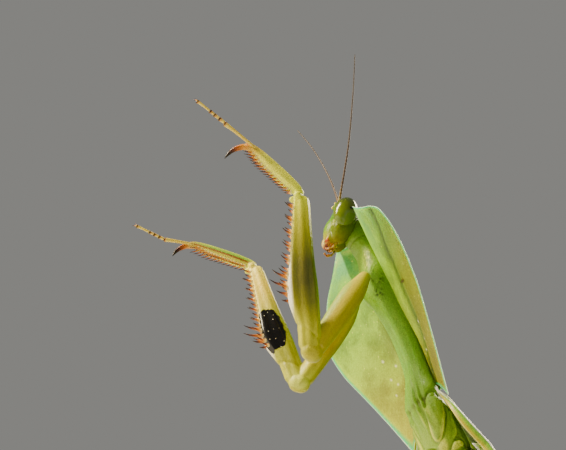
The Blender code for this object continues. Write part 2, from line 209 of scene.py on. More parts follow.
def cuticle(name, roughness, through=0.0, coat=0.0, level=0.3):
    """A chitin material: its node tree, shader and place; through is light let through."""
    material = bpy.data.materials.new(name)
    material.use_nodes = True
    tree = material.node_tree
    shader = tree.nodes["Principled BSDF"]
    for key, value in (("Roughness", roughness), ("IOR", 1.54), ("Specular IOR Level", level),
                       ("Subsurface Weight", through), ("Subsurface Radius", (1.0, 1.0, 0.45)),
                       ("Subsurface Scale", 0.9 * MM), ("Coat Weight", coat),
                       ("Coat Roughness", 0.25)):           # the IOR is insect cuticle's
        shader.inputs[key].default_value = value
    return material, tree, shader, add(tree, "TexCoord").outputs["Object"]


def skin(tree, shader, place, colour, size, height, contrast=0.3):
    """Colours the shader, mottled finely, and adds granules of a size and height (mm).

    The polish varies with the granules; returns the node that carries its roughness."""
    noise = add(tree, "TexNoise", {"Vector": place, "Scale": 1 / (size * MM), "Detail": 4.0,
                                   "Roughness": 0.65})
    spread = {"Value": noise, "From Min": 0.34, "From Max": 0.66}
    shade = add(tree, "MapRange", {**spread, "To Min": 1 - contrast,
                                   "To Max": 1 + 0.5 * contrast})
    varied = add(tree, "Mix", {0: 1.0, 6: colour, 7: shade}, blend_type="MULTIPLY")
    cells = add(tree, "TexVoronoi", {"Vector": place, "Scale": 1 / (2.2 * size * MM)})
    low = add(tree, "Bump", {"Height": noise, "Distance": height * MM})
    high = add(tree, "Bump", {"Height": cells, "Distance": -height * MM, "Normal": low})
    rough = shader.inputs["Roughness"].default_value
    polish = add(tree, "MapRange", {**spread, "To Min": rough * 1.25, "To Max": rough * 0.8})
    for node, key in ((varied.outputs[2], "Base Color"), (high.outputs[0], "Normal"),
                      (polish.outputs[0], "Roughness")):
        tree.links.new(node, shader.inputs[key])
    return polish


def shield_under(u, v):
    """Lower face of the shield: u from front to rear, v from right margin to left."""
    back = SHIELD_LENGTH * u
    notch = REAR_NOTCH * np.cos(math.pi / 2 * np.abs(v)) * ease(0.6, 1.15, u) * 1.35
    x = back - notch
    half = curve(MARGIN_WIDTH, back)
    brow = np.minimum(curve(BROW_WIDTH, x), half - 0.2)
    brow_z, roof_z = curve(BROW_HEIGHT, x), curve(ROOF_HEIGHT, x)
    a = np.abs(v)
    inside = a < FOLD_SHARE
    share = np.clip((a - FOLD_SHARE) / (1 - FOLD_SHARE), 0, 1)
    y = np.sign(v) * np.where(inside, brow * a / FOLD_SHARE, brow + (half - brow) * share)
    hood = brow_z + (roof_z - brow_z) * (1 - np.clip(a / FOLD_SHARE, 0, 1) ** 2) ** 0.6
    groove = 0.36 * bell(share - curve(GROOVE_LINE, u), 0.14) * ease(0.0, 0.1, u)
    blade = brow_z + (curve(MARGIN_HEIGHT, back) - brow_z) * share ** 1.1 + groove
    z = np.where(inside, hood, blade)
    return np.stack((-x, y, z), -1), share, half


rows, columns = 150, 221
shares = np.linspace(-1, 1, columns)
shares = np.sign(shares) * (0.82 * np.abs(shares) + 0.18 * np.sin(np.abs(shares) * math.pi / 2))
lengths = np.linspace(0, 1, rows)
lengths = 0.85 * lengths + 0.15 * (1 - np.cos(lengths * math.pi)) / 2
u, v = np.meshgrid(lengths, shares, indexing="ij")
under, share, half = shield_under(u, v)
rim = np.minimum.reduce([(1 - np.abs(v)) / (1 - FOLD_SHARE) * (half - 4.0),
                         u * SHIELD_LENGTH, (1 - u) * SHIELD_LENGTH])
rim = np.clip(rim, 0, None)
round_rim = np.sqrt(1 - (1 - np.clip(rim / RIM_RADIUS, 0, 1)) ** 2)
vein_line = 9.0 * u + 2.6 * share ** 1.3
vein = bell(vein_line - np.round(vein_line), 0.055) * ease(0.02, 0.2, share)
vein *= 1 - ease(0.75, 0.95, share)
keel = 0.35 * bell(v, 0.03)
blade = EDGE_THICKNESS + (SHIELD_THICKNESS - EDGE_THICKNESS) * ease(0.2, 2.2, rim)
bead = 0.03 * bell(rim - 0.2, 0.15)
thick = (blade + keel + 0.035 * vein + bead) * round_rim
shield_points, shield_faces = slab(under, thick)
flat = (rows, columns)
both = lambda values: np.concatenate((np.broadcast_to(values, flat).ravel(),) * 2)
beneath = lambda values, above=0.0: np.concatenate((values.ravel(), np.full(u.size, above)))
behind, beside = SPOT_PLACE[0] - under[..., 0], under[..., 1] - SPOT_PLACE[1]
lens_spot = ease(0.6, 0.78, np.exp(-(1.7 * behind - 0.65 * beside) ** 2 * 1.6
                                   - (1.5 * behind - 1.05 * beside) ** 2))
valley = share - curve(GROOVE_LINE, u)
# painted glints: small near-white flecks on the underside of the shield
fleck = np.zeros_like(u)
for side, at_u, at_share in ((1, 0.655, 0.3), (1, 0.70, 0.2), (1, 0.747, 0.095), (1, 0.794, 0.164),
                             (1, 0.847, 0.245), (1, 0.62, 0.24), (-1, 0.62, 0.25),
                             (-1, 0.66, 0.42), (-1, 0.71, 0.36), (-1, 0.75, 0.5),
                             (-1, 0.80, 0.3), (-1, 0.56, 0.38), (-1, 0.86, 0.44)):
    fleck += np.exp(-(((u - at_u) / 0.0055) ** 2 + ((share - at_share) / 0.013) ** 2)) \
        * (np.sign(v) == side) * (share > 0)

# Chitin, thin and a little translucent: satin, yellow-green, with a turquoise and ivory rim;
# painted shade on the near side and painted glints.
shield_chitin, tree, shader, place = cuticle("thin_translucent_chitin", 0.5, 0.5)
cloud = add(tree, "TexNoise", {"Vector": place, "Scale": 1 / (3.5 * MM), "Detail": 4.0,
                               "Roughness": 0.6})
dots = add(tree, "TexVoronoi", {"Vector": place, "Scale": 1 / (1.15 * MM)})
on_side = lambda stops: add(tree, "Math", {0: "side", 1: ("valley", stops)},
                            operation="MULTIPLY")
near_rim = add(tree, "MapRange", {"Value": "rim", "From Min": 0.2, "From Max": 0.65,
                                  "To Min": 1.0, "To Max": 0.0})
from_rim = add(tree, "Math", {0: "rim", 1: 2.5}, operation="DIVIDE")
field = ("along", {0.0: "98c880", 0.1: "84c040", 0.22: "86bc14", 0.4: "98c414", 0.75: "a0b006",
                   1.0: "a0a008"})
for share_of, colour in (
        ((cloud, {0.4: "000000", 0.6: "ffffff"}),
         ("along", {0.0: "5cb478", 0.3: "6c9c08", 0.7: "808a02", 1.0: "888002"})),
        # painted shade: the near side's blade outside the fold is darker olive than the far side's
        (on_side({0.52: "000000", 0.66: "e8e8e8"}),             # outside the fold
         ("along", {0.26: "62981a", 0.36: "567402", 0.5: "666a02", 0.8: "6e6a02"})),
        # painted shade: a dark band along the groove of the near side's blade
        (on_side({0.36: "000000", 0.47: "ececec", 0.54: "ececec", 0.63: "000000"}), "2c4c00"),
        (add(tree, "Math", {0: "vein", 1: 0.07}, operation="MULTIPLY"), "c6d438"),
        (near_rim, (from_rim, {0.0: "dcf2dc", 0.02: "b0e6c4", 0.045: "1cb078", 0.14: "2cb05c",
                               0.3: "72ac08"})),
        ("spot", "280e00"), ((dots, {0.06: "c8c8c8", 0.12: "000000"}), "e7e95d"),
        # painted glints, near white
        ("fleck", "f4f4d8")):
    field = add(tree, "Mix", {0: share_of, 6: field, 7: colour})
skin(tree, shader, place, field, 0.2, 0.03, 0.22)

shield_marks = {"rim": both(rim), "along": both(u), "vein": both(vein),
                "valley": both(valley + 0.5), "spot": beneath(lens_spot),
                "side": beneath(0.12 + 0.88 * (v > 0), 0.2), "fleck": beneath(fleck)}
piece("neck_shield", FRONT, [(shield_points, shield_faces, shield_marks, 0)], [shield_chitin],
      "shield_cuticle", "pronotum_shield")

# ---- body ------------------------------------------------------------------------------------
# Neck, front body, wing-bearing rings and abdomen under one skin: smooth waxy chitin plates
# with soft pale folds between them, fixed in one line from the head to the tail.
REAR = (attitude(45.0, LEAN), np.array([-3.343, 5.025, 34.0]))
GROUND = (np.eye(3), np.zeros(3))     # the model's own space


def tube(path, sizes, up, count, sides, rounds=(0.0, 0.0), power=2.0, shape=None):
    """Closed skin round a smooth path (mm). sizes: half width, height above, height below,
    or one number where it is round.

    rounds: length over which each end is rounded; shape(share, angle) adds millimetres.
    Returns points, faces and marks: along (share), length (mm) and relief, the millimetres
    that shape added.
    """
    sizes = [(size,) * 3 if isinstance(size, float) else size for size in sizes]
    rows = np.concatenate((np.array(path, float), np.array(sizes, float)), 1)
    k = np.arange(count) / (count - 1)
    k = 0.75 * k + 0.25 * (1 - np.cos(k * math.pi)) / 2
    rows = curve(np.column_stack((np.arange(len(rows)), rows)), k * (len(rows) - 1))
    centre = rows[:, :3]
    ahead = np.gradient(centre, axis=0)
    ahead /= np.linalg.norm(ahead, axis=1, keepdims=True)
    side = np.cross(np.broadcast_to(np.array(up, float), ahead.shape), ahead)
    side /= np.linalg.norm(side, axis=1, keepdims=True)
    top = np.cross(ahead, side)
    run = np.concatenate(([0], np.cumsum(np.linalg.norm(np.diff(centre, axis=0), axis=1))))
    scale = np.ones(count)
    for reach, away in zip(rounds, (run, run[-1] - run)):
        if reach > 0:
            scale *= np.sqrt(np.clip(1 - (1 - np.clip(away / reach, 0.0, 1)) ** 2, 0.0009, 1))
    angle = 2 * math.pi * np.arange(sides)[None, :] / sides
    c, s = np.cos(angle), np.sin(angle)
    c, s = (np.sign(w) * np.abs(w) ** (2 / power) for w in (c, s))
    wide = rows[:, 3:4] * scale[:, None]
    tall = np.where(s >= 0, rows[:, 4:5], rows[:, 5:6]) * scale[:, None]
    share = run / run[-1]
    extra = np.zeros((count, sides))
    if shape is not None:
        extra = extra + shape(share[:, None], angle) * scale[:, None]
        wide, tall = wide + extra, tall + extra
    points = (centre[:, None] + side[:, None] * (wide * c)[..., None]
              + top[:, None] * (tall * s)[..., None])
    grid = np.arange(count * sides).reshape(count, sides)
    quads = np.stack((grid[:-1], np.roll(grid[:-1], -1, 1), np.roll(grid[1:], -1, 1),
                      grid[1:]), -1).reshape(-1, 4)
    faces = [tuple(q) for q in quads.tolist()]
    faces += [(a, count * sides, b) for a, b in zip(np.roll(grid[0], -1), grid[0])]
    faces += [(a, count * sides + 1, b) for a, b in zip(grid[-1], np.roll(grid[-1], -1))]
    faces = [tuple(int(i) for i in f)[::-1] for f in faces]
    points = np.concatenate((points.reshape(-1, 3), centre[:1], centre[-1:]))
    spread = lambda values: np.append(np.broadcast_to(values, (count, sides)).ravel(),
                                      (values.ravel()[0], values.ravel()[-1]))
    return points, faces, {"along": spread(share[:, None]), "length": spread(run[:, None]),
                           "relief": spread(extra)}


BODY_STATIONS = [(FRONT, *row) for row in (   # forward, dorsal, half width, above, below (mm)
    (0.9, 1.3, 1.2, 0.9, 1.3), (-0.4, 1.5, 1.55, 1.2, 1.75), (-1.6, 1.7, 1.75, 1.2, 1.95),
    (-3.0, 1.9, 1.95, 1.4, 1.55), (-4.5, 2.0, 2.3, 1.6, 1.3), (-7.4, 2.05, 2.9, 1.9, 1.75),
    (-9.4, 2.2, 2.6, 1.9, 2.0), (-11.3, 2.65, 2.2, 1.65, 2.0), (-15.5, 3.15, 2.0, 1.15, 1.5),
    (-20.5, 3.25, 2.1, 1.2, 1.4), (-23.2, 2.95, 2.6, 1.5, 1.7), (-25.4, 2.6, 3.1, 1.8, 1.8))]
BODY_STATIONS += [(REAR, *row) for row in (
    (0.8, -0.2, 3.4, 1.9, 1.6), (-1.4, -0.35, 3.75, 2.15, 1.6), (-3.2, -0.5, 3.85, 2.3, 1.7),
    (-5.0, -0.6, 3.7, 2.3, 1.85), (-7.4, -0.8, 3.9, 2.6, 2.6), (-10.0, -0.8, 3.6, 2.5, 2.4),
    (-14.0, -0.8, 4.4, 2.7, 2.7), (-18.0, -0.85, 5.2, 2.8, 2.8), (-22.0, -0.9, 5.6, 2.9, 2.9),
    (-27.0, -0.9, 5.5, 2.7, 2.8), (-31.0, -0.9, 4.9, 2.4, 2.4), (-37.0, -0.7, 2.7, 1.5, 1.5),
    (-40.2, -0.5, 1.0, 0.6, 0.6))]
FORE_HIP, SLIM_START, SLIM, SLIM_END, KNOB, WAIST = 5, 7, 8, 9, 10, 11    # rows above
MIDDLE, MIDDLE_HIP, HIND_FOLD, HIND, RINGS = 13, 14, 15, 16, 17
RING_LENGTH = 3.55            # of one ring of the abdomen (mm)
body_path = [world((x, 0, z), place) for place, x, z, *_ in BODY_STATIONS]
body_sizes = [s[3:] for s in BODY_STATIONS]
body_run = np.concatenate(([0], np.cumsum([np.linalg.norm(b - a) for a, b in
                                           zip(body_path, body_path[1:])])))
RING_START, BODY_RUN = body_run[RINGS], body_run[-1]


def body_relief(share, angle):
    """Folds between the plates, rings of the abdomen and bulges over the leg roots (mm)."""
    run = share * BODY_RUN
    tilt = np.arcsin(np.sin(angle))          # 0 at the flanks, negative underneath
    below = ease(0.1, 0.9, -np.sin(angle))
    ring = (run - RING_START) / RING_LENGTH
    step = ring - np.floor(ring)
    relief = np.where(ring > 0, 0.10 * step - 0.17 * bell(step - 1, 0.05)
                      - 0.17 * bell(step, 0.05), 0.0)
    for where, depth, wide in ((3.3, 0.1, 0.22), (body_run[WAIST] + 0.4, 0.16, 0.3),
                               (body_run[HIND_FOLD] + 0.2, 0.26, 0.35),
                               (RING_START - 0.1, 0.3, 0.4)):
        relief = relief - depth * bell(run - where, wide)
    relief = relief - 0.16 * bell(np.abs(np.cos(angle)) - 0.985, 0.012) \
        * ease(body_run[HIND], RING_START, run) * (np.sin(angle) < 0.4)
    for where, out in ((body_run[FORE_HIP] + 0.6, 0.35), (body_run[MIDDLE_HIP] + 0.6, 0.3),
                       (body_run[HIND] + 0.8, 0.4)):
        relief = relief + out * bell(run - where, 1.4) \
            * bell(np.abs(np.cos(angle)) - 0.72, 0.22) * below
    # oblique side plates over the middle and hind leg roots, each with a seam round it
    for row, size in ((MIDDLE, 1.0), (HIND, 0.9)):
        back, down = (run - body_run[row] + 0.9) / size, (tilt + 0.42) * 3.3 / size
        long, wide = 0.77 * back - 0.64 * down, 0.64 * back + 0.77 * down
        oval = (long / 3.3) ** 2 + (wide / 1.6) ** 2
        relief = relief + 0.42 * size * np.sqrt(np.clip(1 - oval, 0, 1)) \
            - 0.14 * bell(oval - 1.12, 0.14)
        seam = wide - 2.8 - 0.35 * np.sin(long * 1.4)
        relief = relief + 0.12 * bell(seam, 0.14) * ease(3.2, 2.2, np.abs(long))
    wrinkled = bell(run - body_run[WAIST] - 0.6, 2.6)
    pleat = bell(tilt + 0.95, 0.5) * wrinkled
    wave = 0.5 + 0.5 * np.cos(tilt * 16.0 + 0.9 * np.sin(run * 0.9))
    relief = relief + pleat * (0.46 * wave ** 2 - 0.14)
    lump = ((run - body_run[KNOB] - 0.9) / 0.95) ** 2 + ((tilt - 0.05) * 2.4 / 0.95) ** 2
    relief = relief + 0.3 * np.exp(-lump)
    ridge = 0.08 * np.cos(angle * 6.0) * ease(body_run[SLIM_START], body_run[SLIM], run) \
        * (1 - ease(body_run[SLIM_END], body_run[KNOB], run)) * below
    return relief + ridge


body_points, body_faces, body_marks = tube(
    body_path, body_sizes, FRONT[0][:, 2] * 0.5 + REAR[0][:, 2] * 0.5, 640, 120, (0.5, 0.6),
    2.35, body_relief)
for key, spots in (("pale_hip", (((-5.4, 2.2, 0.3), 1.15), ((-6.6, 2.3, 0.3), 1.1))),
                   ("dark_hip", (((-9.1, 2.2, 1.3), 0.85), ((-11.0, 1.9, 0.9), 0.7),
                                 ((-8.5, 2.3, 0.5), 0.6)))):
    body_marks[key] = np.zeros(len(body_points))
    for (x, y, z), size in spots:
        for sign in (1, -1):
            away = np.linalg.norm(body_points - world((x, sign * y, z), FRONT), axis=1)
            body_marks[key] += np.exp(-(away / size) ** 4)

# Waxy chitin over flesh: satin, mid green in front and paler behind, ivory in the folds, with
# painted light and shade.
body_chitin, tree, shader, place = cuticle("waxy_chitin_over_flesh", 0.43, 0.25)
length_share = add(tree, "Math", {0: "length", 1: float(BODY_RUN)}, operation="DIVIDE")
mottle = add(tree, "TexNoise", {"Vector": place, "Scale": 1 / (0.9 * MM), "Detail": 4.0,
                                "Roughness": 0.65})
# painted shade: darker green in the creases between the plates
painted_crease_shade = add(tree, "MapRange", {"Value": "relief", "From Min": -0.22, "From Max": -0.02,
                                "To Min": 0.8, "To Max": 0.0})
# painted highlight: pale crests of the wrinkles at the waist
painted_ridge_highlight = add(tree, "Math", {
    0: (length_share, {0.4: "000000", 0.43: "ffffff", 0.5: "ffffff", 0.54: "000000"}),
    1: ("relief", {0.06: "000000", 0.16: "f0f0f0", 0.25: "f0f0f0", 0.34: "303030"})},
    operation="MULTIPLY")
grit = add(tree, "TexVoronoi", {"Vector": place, "Scale": 1 / (0.5 * MM)})
dark = add(tree, "Mix", {0: "dark_hip", 6: "000000", 7: (grit, {0.32: "f0f0f0", 0.5: "000000"})})
past_first = add(tree, "Math", {0: "length", 1: float(RING_START)}, operation="SUBTRACT")
ring_wave = add(tree, "Math", {0: add(tree, "Math", {0: past_first, 1: RING_LENGTH},
                                      operation="DIVIDE")}, operation="FRACT")
ring_band = add(tree, "Math", {
    0: add(tree, "Math", {0: past_first, 1: 0.0}, operation="GREATER_THAN"),
    1: (ring_wave, {0.0: "ffffff", 0.05: "000000", 0.86: "000000", 0.97: "ffffff"})},
    operation="MULTIPLY")
# painted light: the base is lighter from 0.44 to 0.53 of the length, where the wing covers shade
# the body
field = (length_share, {
    0.0: "6e8202", 0.05: "6a9604", 0.1: "76a006", 0.15: "6a9a08", 0.2: "689a0c", 0.3: "68a010",
    0.37: "689a0a", 0.44: "7c9c0a", 0.53: "789a08", 0.6: "6e9008", 0.8: "7c940c", 1.0: "848c10"})
for share_of, colour in (
        ((mottle, {0.46: "000000", 0.74: "707070"}), "b1c62e"), (painted_crease_shade, "4c5c00"),
        (painted_ridge_highlight, "d2da4a"), ("pale_hip", (grit, {0.15: "d4dc68", 0.35: "98b01c", 0.7: "6c8c08"})),
        (dark, "2a4600"), (ring_band, "cace46")):
    field = add(tree, "Mix", {0: share_of, 6: field, 7: colour})
skin(tree, shader, place, field, 0.14, 0.036, 0.35)
piece("body_skin", GROUND, [(body_points, body_faces, body_marks, 0)], [body_chitin],
      "body_cuticle", "neck", "prothorax", "mesothorax", "metathorax", "abdomen")

# ---- head --------------------------------------------------------------------------------
# A small three-cornered head capsule, blended from its cheeks, brow and snout, with large
# smooth eyes at its corners, three simple eyes, jaws and thin feelers.
HEAD = (attitude(-4.0, 8.0), np.array([-9.902, -12.038, 56.875]))
HEAD_GRAIN = 0.11             # size of the remeshed skin's cells (mm)


def ball(centre, radii, turn=(0.0, 0.0, 0.0), sides=48):
    """Points (mm) and faces of an ellipsoid, turned by degrees about forward, left and up."""
    a, b = np.meshgrid(np.linspace(0, math.pi, sides // 2 + 1)[1:-1],
                       np.arange(sides) * 2 * math.pi / sides, indexing="ij")
    points = np.stack((np.sin(a) * np.cos(b), np.sin(a) * np.sin(b), np.cos(a)), -1)
    points = np.concatenate((points.reshape(-1, 3), [(0, 0, 1), (0, 0, -1)])) * radii
    for axis, degrees in enumerate(turn):
        t = math.radians(degrees)
        i, j = (axis + 1) % 3, (axis + 2) % 3
        m = np.eye(3)
        m[i, i] = m[j, j] = math.cos(t)
        m[i, j], m[j, i] = -math.sin(t), math.sin(t)
        points = points @ m.T
    count = sides // 2 - 1
    grid = np.arange(count * sides).reshape(count, sides)
    quads = np.stack((grid[:-1], grid[1:], np.roll(grid[1:], -1, 1), np.roll(grid[:-1], -1, 1)),
                     -1).reshape(-1, 4)
    faces = [tuple(q) for q in quads.tolist()]
    faces += [(len(points) - 2, int(a), int(b)) for a, b in zip(grid[0], np.roll(grid[0], -1))]
    faces += [(len(points) - 1, int(b), int(a)) for a, b in zip(grid[-1], np.roll(grid[-1], -1))]
    return points + centre, faces


def blended(lumps, cell, passes):
    """One smooth skin round overlapping closed lumps: its points (mm) and faces."""
    points, faces = joined(lumps)
    mesh = bpy.data.meshes.new("lumps")
    mesh.from_pydata(points.tolist(), [], faces)
    obj = bpy.data.objects.new("lumps", mesh)
    bpy.context.scene.collection.objects.link(obj)
    remesh = obj.modifiers.new("skin", "REMESH")
    remesh.mode, remesh.voxel_size = "VOXEL", cell
    relax = obj.modifiers.new("relax", "SMOOTH")
    relax.factor, relax.iterations = 0.5, passes
    result = obj.evaluated_get(bpy.context.evaluated_depsgraph_get()).to_mesh()
    skin = np.empty(len(result.vertices) * 3, np.float32)
    result.vertices.foreach_get("co", skin)
    skin_faces = [tuple(p.vertices) for p in result.polygons]
    bpy.data.objects.remove(obj)
    return skin.reshape(-1, 3).astype(float), skin_faces


def pairs(lumps):
    """Each lump and its mirror image on the other side of the head."""
    out = []
    for centre, radii, turn in lumps:
        out.append(ball(centre, radii, turn))
        if centre[1]:
            out.append(ball((centre[0], -centre[1], centre[2]), radii,
                            (-turn[0], turn[1], -turn[2])))
    return out


HEAD_LUMPS = [  # centre (forward, left, up), radii, turn
    ((1.0, 0.0, 0.0), (1.5, 2.3, 1.35), (0, 0, 0)),           # crown
    ((0.95, 1.5, 0.05), (1.35, 1.45, 1.2), (-14, 0, 0)),      # crown corner by the eye
    ((0.8, 2.15, -1.1), (1.5, 1.25, 2.0), (14, 0, 0)),        # socket round the eye
    ((0.8, 0.0, -1.5), (1.9, 2.6, 2.3), (0, 0, 0)),           # face
    ((0.75, 1.4, -2.3), (1.5, 1.4, 2.2), (24, -4, 0)),        # cheek under the eye
    ((0.8, 0.85, -3.2), (1.25, 1.1, 1.9), (18, -6, 0)),       # hind corner of the jaw
    ((1.5, 0.0, -2.8), (1.55, 1.6, 2.1), (0, 0, 0)),          # face shield
    ((1.55, 0.5, -3.7), (1.0, 0.9, 1.5), (12, -6, 0)),        # jaw muscle
    ((1.8, 0.0, -3.9), (1.0, 1.05, 1.4), (0, 0, 0)),          # snout
    ((2.15, 0.62, 0.75), (0.5, 0.45, 0.5), (0, 0, 0)),        # feeler socket
    ((2.3, 0.0, 0.55), (0.5, 0.5, 0.5), (0, 0, 0))]           # mound of the simple eyes
head_points, head_faces = blended(pairs(HEAD_LUMPS), HEAD_GRAIN, 45)

# Hard chitin of the head: glossy, olive green, yellower low down and bright green in front.
head_chitin, tree, shader, place = cuticle("glossy_head_chitin", 0.24, 0.12, level=0.1)
smudge = add(tree, "TexNoise", {"Vector": place, "Scale": 1 / (0.6 * MM), "Detail": 3.0})
field = ("up", {0.0: "8c7a08", 0.2: "5e6a02", 0.42: "506402", 0.7: "4c6a01", 0.88: "446601",
                1.0: "4c6602"})
for share_of, colour in (
        (("fore", {0.7: "000000", 0.92: "ffffff"}),
         ("up", {0.0: "a87a1a", 0.18: "a09a20", 0.32: "6a9010", 0.55: "4f8805",
                 1.0: "467a02"})),
        ((smudge, {0.5: "000000", 0.66: "707070"}), "7c8e0c")):
    field = add(tree, "Mix", {0: share_of, 6: field, 7: colour})
skin(tree, shader, place, field, 0.13, 0.02)

# Granules of the cheeks: clear polished beads of chitin, each with its own spark of light; their
# pale colour is a painted glint.
bead_chitin, tree, shader, place = cuticle("polished_granule_chitin", 0.1, 0.3, 1.0)
speckle = add(tree, "TexNoise", {"Vector": place, "Scale": 1 / (0.3 * MM)})
# real granules, with a pale colour that paints their glints
skin(tree, shader, place, (speckle, {0.4: "9cac28", 0.6: "d0d878"}), 0.1, 0.002, 0.1)
grains = random.Random(11)
head_lumps = [(head_points, head_faces, 0)]
for sign in (1, -1):
    cheek = head_points[np.linalg.norm(head_points - (2.05, sign * 2.0, -2.75), axis=1) < 0.75]
    for spot in grains.sample(range(len(cheek)), 15):
        head_lumps.append((*ball(cheek[spot], grains.uniform(0.08, 0.13), sides=16), 1))
piece("head_skin", HEAD, [
    (points, faces, {"up": (points[:, 2] + 5.6) / 7.2, "fore": (points[:, 0] + 0.6) / 3.6}, number)
    for points, faces, number in head_lumps], [head_chitin, bead_chitin], "head_cuticle", "head")

# Compound eyes: smooth clear domes over tiny olive facets, darker green along the top, with a
# small black spot at the back: painted shadow of the gap between the eye and the shield.
EYE_RADII = (1.5, 1.25, 2.25)
SIDES = (("left", 1), ("right", -1))
eye_lens, tree, shader, place = cuticle("faceted_eye_dome", 0.14, 0.15, 0.1)
cells = add(tree, "TexVoronoi", {"Vector": place, "Scale": 1 / (0.09 * MM)})
field = ("crown", {0.0: "566c02", 0.35: "5c6c02", 0.6: "4c5c02", 0.8: "384600", 0.94: "2c3c00",
                   1.0: "2c5202"})
# the notch mark is painted shadow, near black, where the eye meets the shield's corner
for share_of, colour in (((cells, {0.25: "000000", 0.6: "303030"}), "374601"),
                         ("notch", "060402")):
    field = add(tree, "Mix", {0: share_of, 6: field, 7: colour})
tree.links.new(field.outputs[2], shader.inputs["Base Color"])
dome = add(tree, "Bump", {"Height": cells, "Strength": 0.35, "Distance": 0.01 * MM})
tree.links.new(dome.outputs["Normal"], shader.inputs["Normal"])
for side, sign in SIDES:
    points, faces = ball((1.05, sign * 2.95, -1.2), EYE_RADII, (sign * 14, 0, 0), 96)
    # painted shadow of the gap between the eye and the shield, at the eye's back
    behind = (points - (0.53, sign * 4.08, -1.17)) / (0.27, 0.27, 0.17)
    marks = {"crown": (points[:, 2] + 3.4) / 4.4, "notch": np.exp(-np.sum(behind ** 2, 1) ** 2)}
    piece("compound_eye_" + side, HEAD, [(points, faces, marks, 0)], [eye_lens], "eye_cuticle",
          "eye_" + side)

# Simple eyes: three clear amber beads on the brow.
bead_glass, tree, shader, place = cuticle("clear_amber_lens", 0.08, 0.4, 1.0)
speckle = add(tree, "TexNoise", {"Vector": place, "Scale": 1 / (0.25 * MM)})
skin(tree, shader, place, (speckle, {0.4: "a89c20", 0.6: "cabc42"}), 0.1, 0.004, 0.1)
piece("simple_eyes", HEAD, [
    (*ball(centre, 0.2, sides=24), {}, 0)
    for centre in ((2.72, 0.0, 0.5), (2.55, 0.4, 0.98), (2.55, -0.4, 0.98))], [bead_glass],
    "eye_cuticle")

# Jaws: a pale upper lip over toothed brown jaws, with jointed palps beside them.
jaw_chitin, tree, shader, place = cuticle("tanned_jaw_chitin", 0.3, 0.1)
streak = add(tree, "TexNoise", {"Vector": place, "Scale": 1 / (0.35 * MM), "Detail": 2.0})
field = add(tree, "Mix", {
    0: (streak, {0.5: "000000", 0.58: "c8c8c8"}),
    6: ("along", {0.0: "5c6a02", 0.25: "8c7c08", 0.45: "9c3c08", 0.7: "6a1c06", 0.85: "34100a",
                  1.0: "140604"}), 7: "b8880c"})
tree.links.new(field.outputs[2], shader.inputs["Base Color"])
lip_chitin, tree, shader, place = cuticle("pale_lip_chitin", 0.35, 0.2)
skin(tree, shader, place, ("along", {0.0: "6c8006", 0.3: "b4a428", 0.55: "d4bc70",
                                     0.75: "8c3c10", 1.0: "5c1c08"}), 0.12, 0.02)
jaws = []
for path, sizes in (           # upper and lower lip
        ([(2.35, 0, -4.3), (2.5, 0, -4.75), (2.3, 0, -5.3), (1.85, 0, -5.75)],
         [(0.5, 0.2, 0.2), (0.62, 0.28, 0.25), (0.55, 0.25, 0.2), (0.2, 0.1, 0.1)]),
        ([(0.9, 0, -4.4), (1.15, 0, -5.0), (1.35, 0, -5.5), (1.45, 0, -5.85)],
         [(0.55, 0.25, 0.25), (0.62, 0.3, 0.3), (0.5, 0.25, 0.25), (0.3, 0.15, 0.15)])):
    jaws.append((*tube(path, sizes, (1, 0, 0.3), 30, 24, (0.3, 0.3)), 1))
for sign in (1, -1):
    for path, sizes, sides in (           # jaw and maxilla
            ([(1.75, 0.85, -3.9), (1.95, 0.8, -4.6), (1.95, 0.55, -5.2), (1.85, 0.15, -5.7)],
             [(0.3, 0.4, 0.4), (0.36, 0.5, 0.45), (0.28, 0.38, 0.35), (0.08, 0.14, 0.14)], 24),
            ([(1.2, 0.75, -4.2), (1.45, 0.72, -4.9), (1.6, 0.45, -5.5), (1.6, 0.2, -5.85)],
             [(0.26, 0.3, 0.3), (0.3, 0.34, 0.3), (0.2, 0.24, 0.22), (0.08, 0.1, 0.1)], 20)):
        jaws.append((*tube([(x, sign * y, z) for x, y, z in path], sizes, (1, 0, 0.2), 36,
                           sides, (0.3, 0.15)), 0))
    for bends, thick in (
            (((1.2, 0.8, -4.5), (0.95, 1.15, -5.0), (1.2, 1.25, -5.6), (1.7, 1.0, -5.95),
              (2.1, 0.65, -5.85)), 0.13),
            (((1.1, 0.45, -5.0), (0.95, 0.6, -5.5), (1.25, 0.6, -5.9), (1.65, 0.4, -6.05)),
             0.11)):
        joints = len(bends) - 1
        knuckles = lambda share, angle: 0.035 * np.cos(share * joints * 2 * math.pi) ** 3
        points, faces, marks = tube(
            [(x, sign * y, z) for x, y, z in bends], [thick] * len(bends), (1, 0.2, 0.2), 48, 14,
            (0.12, 0.12), shape=knuckles)
        jaws.append((points, faces, {"along": marks["along"] * 0.45}, 0))
piece("jaws_and_palps", HEAD, jaws, [jaw_chitin, lip_chitin], "mouth_cuticle", "mouthparts")

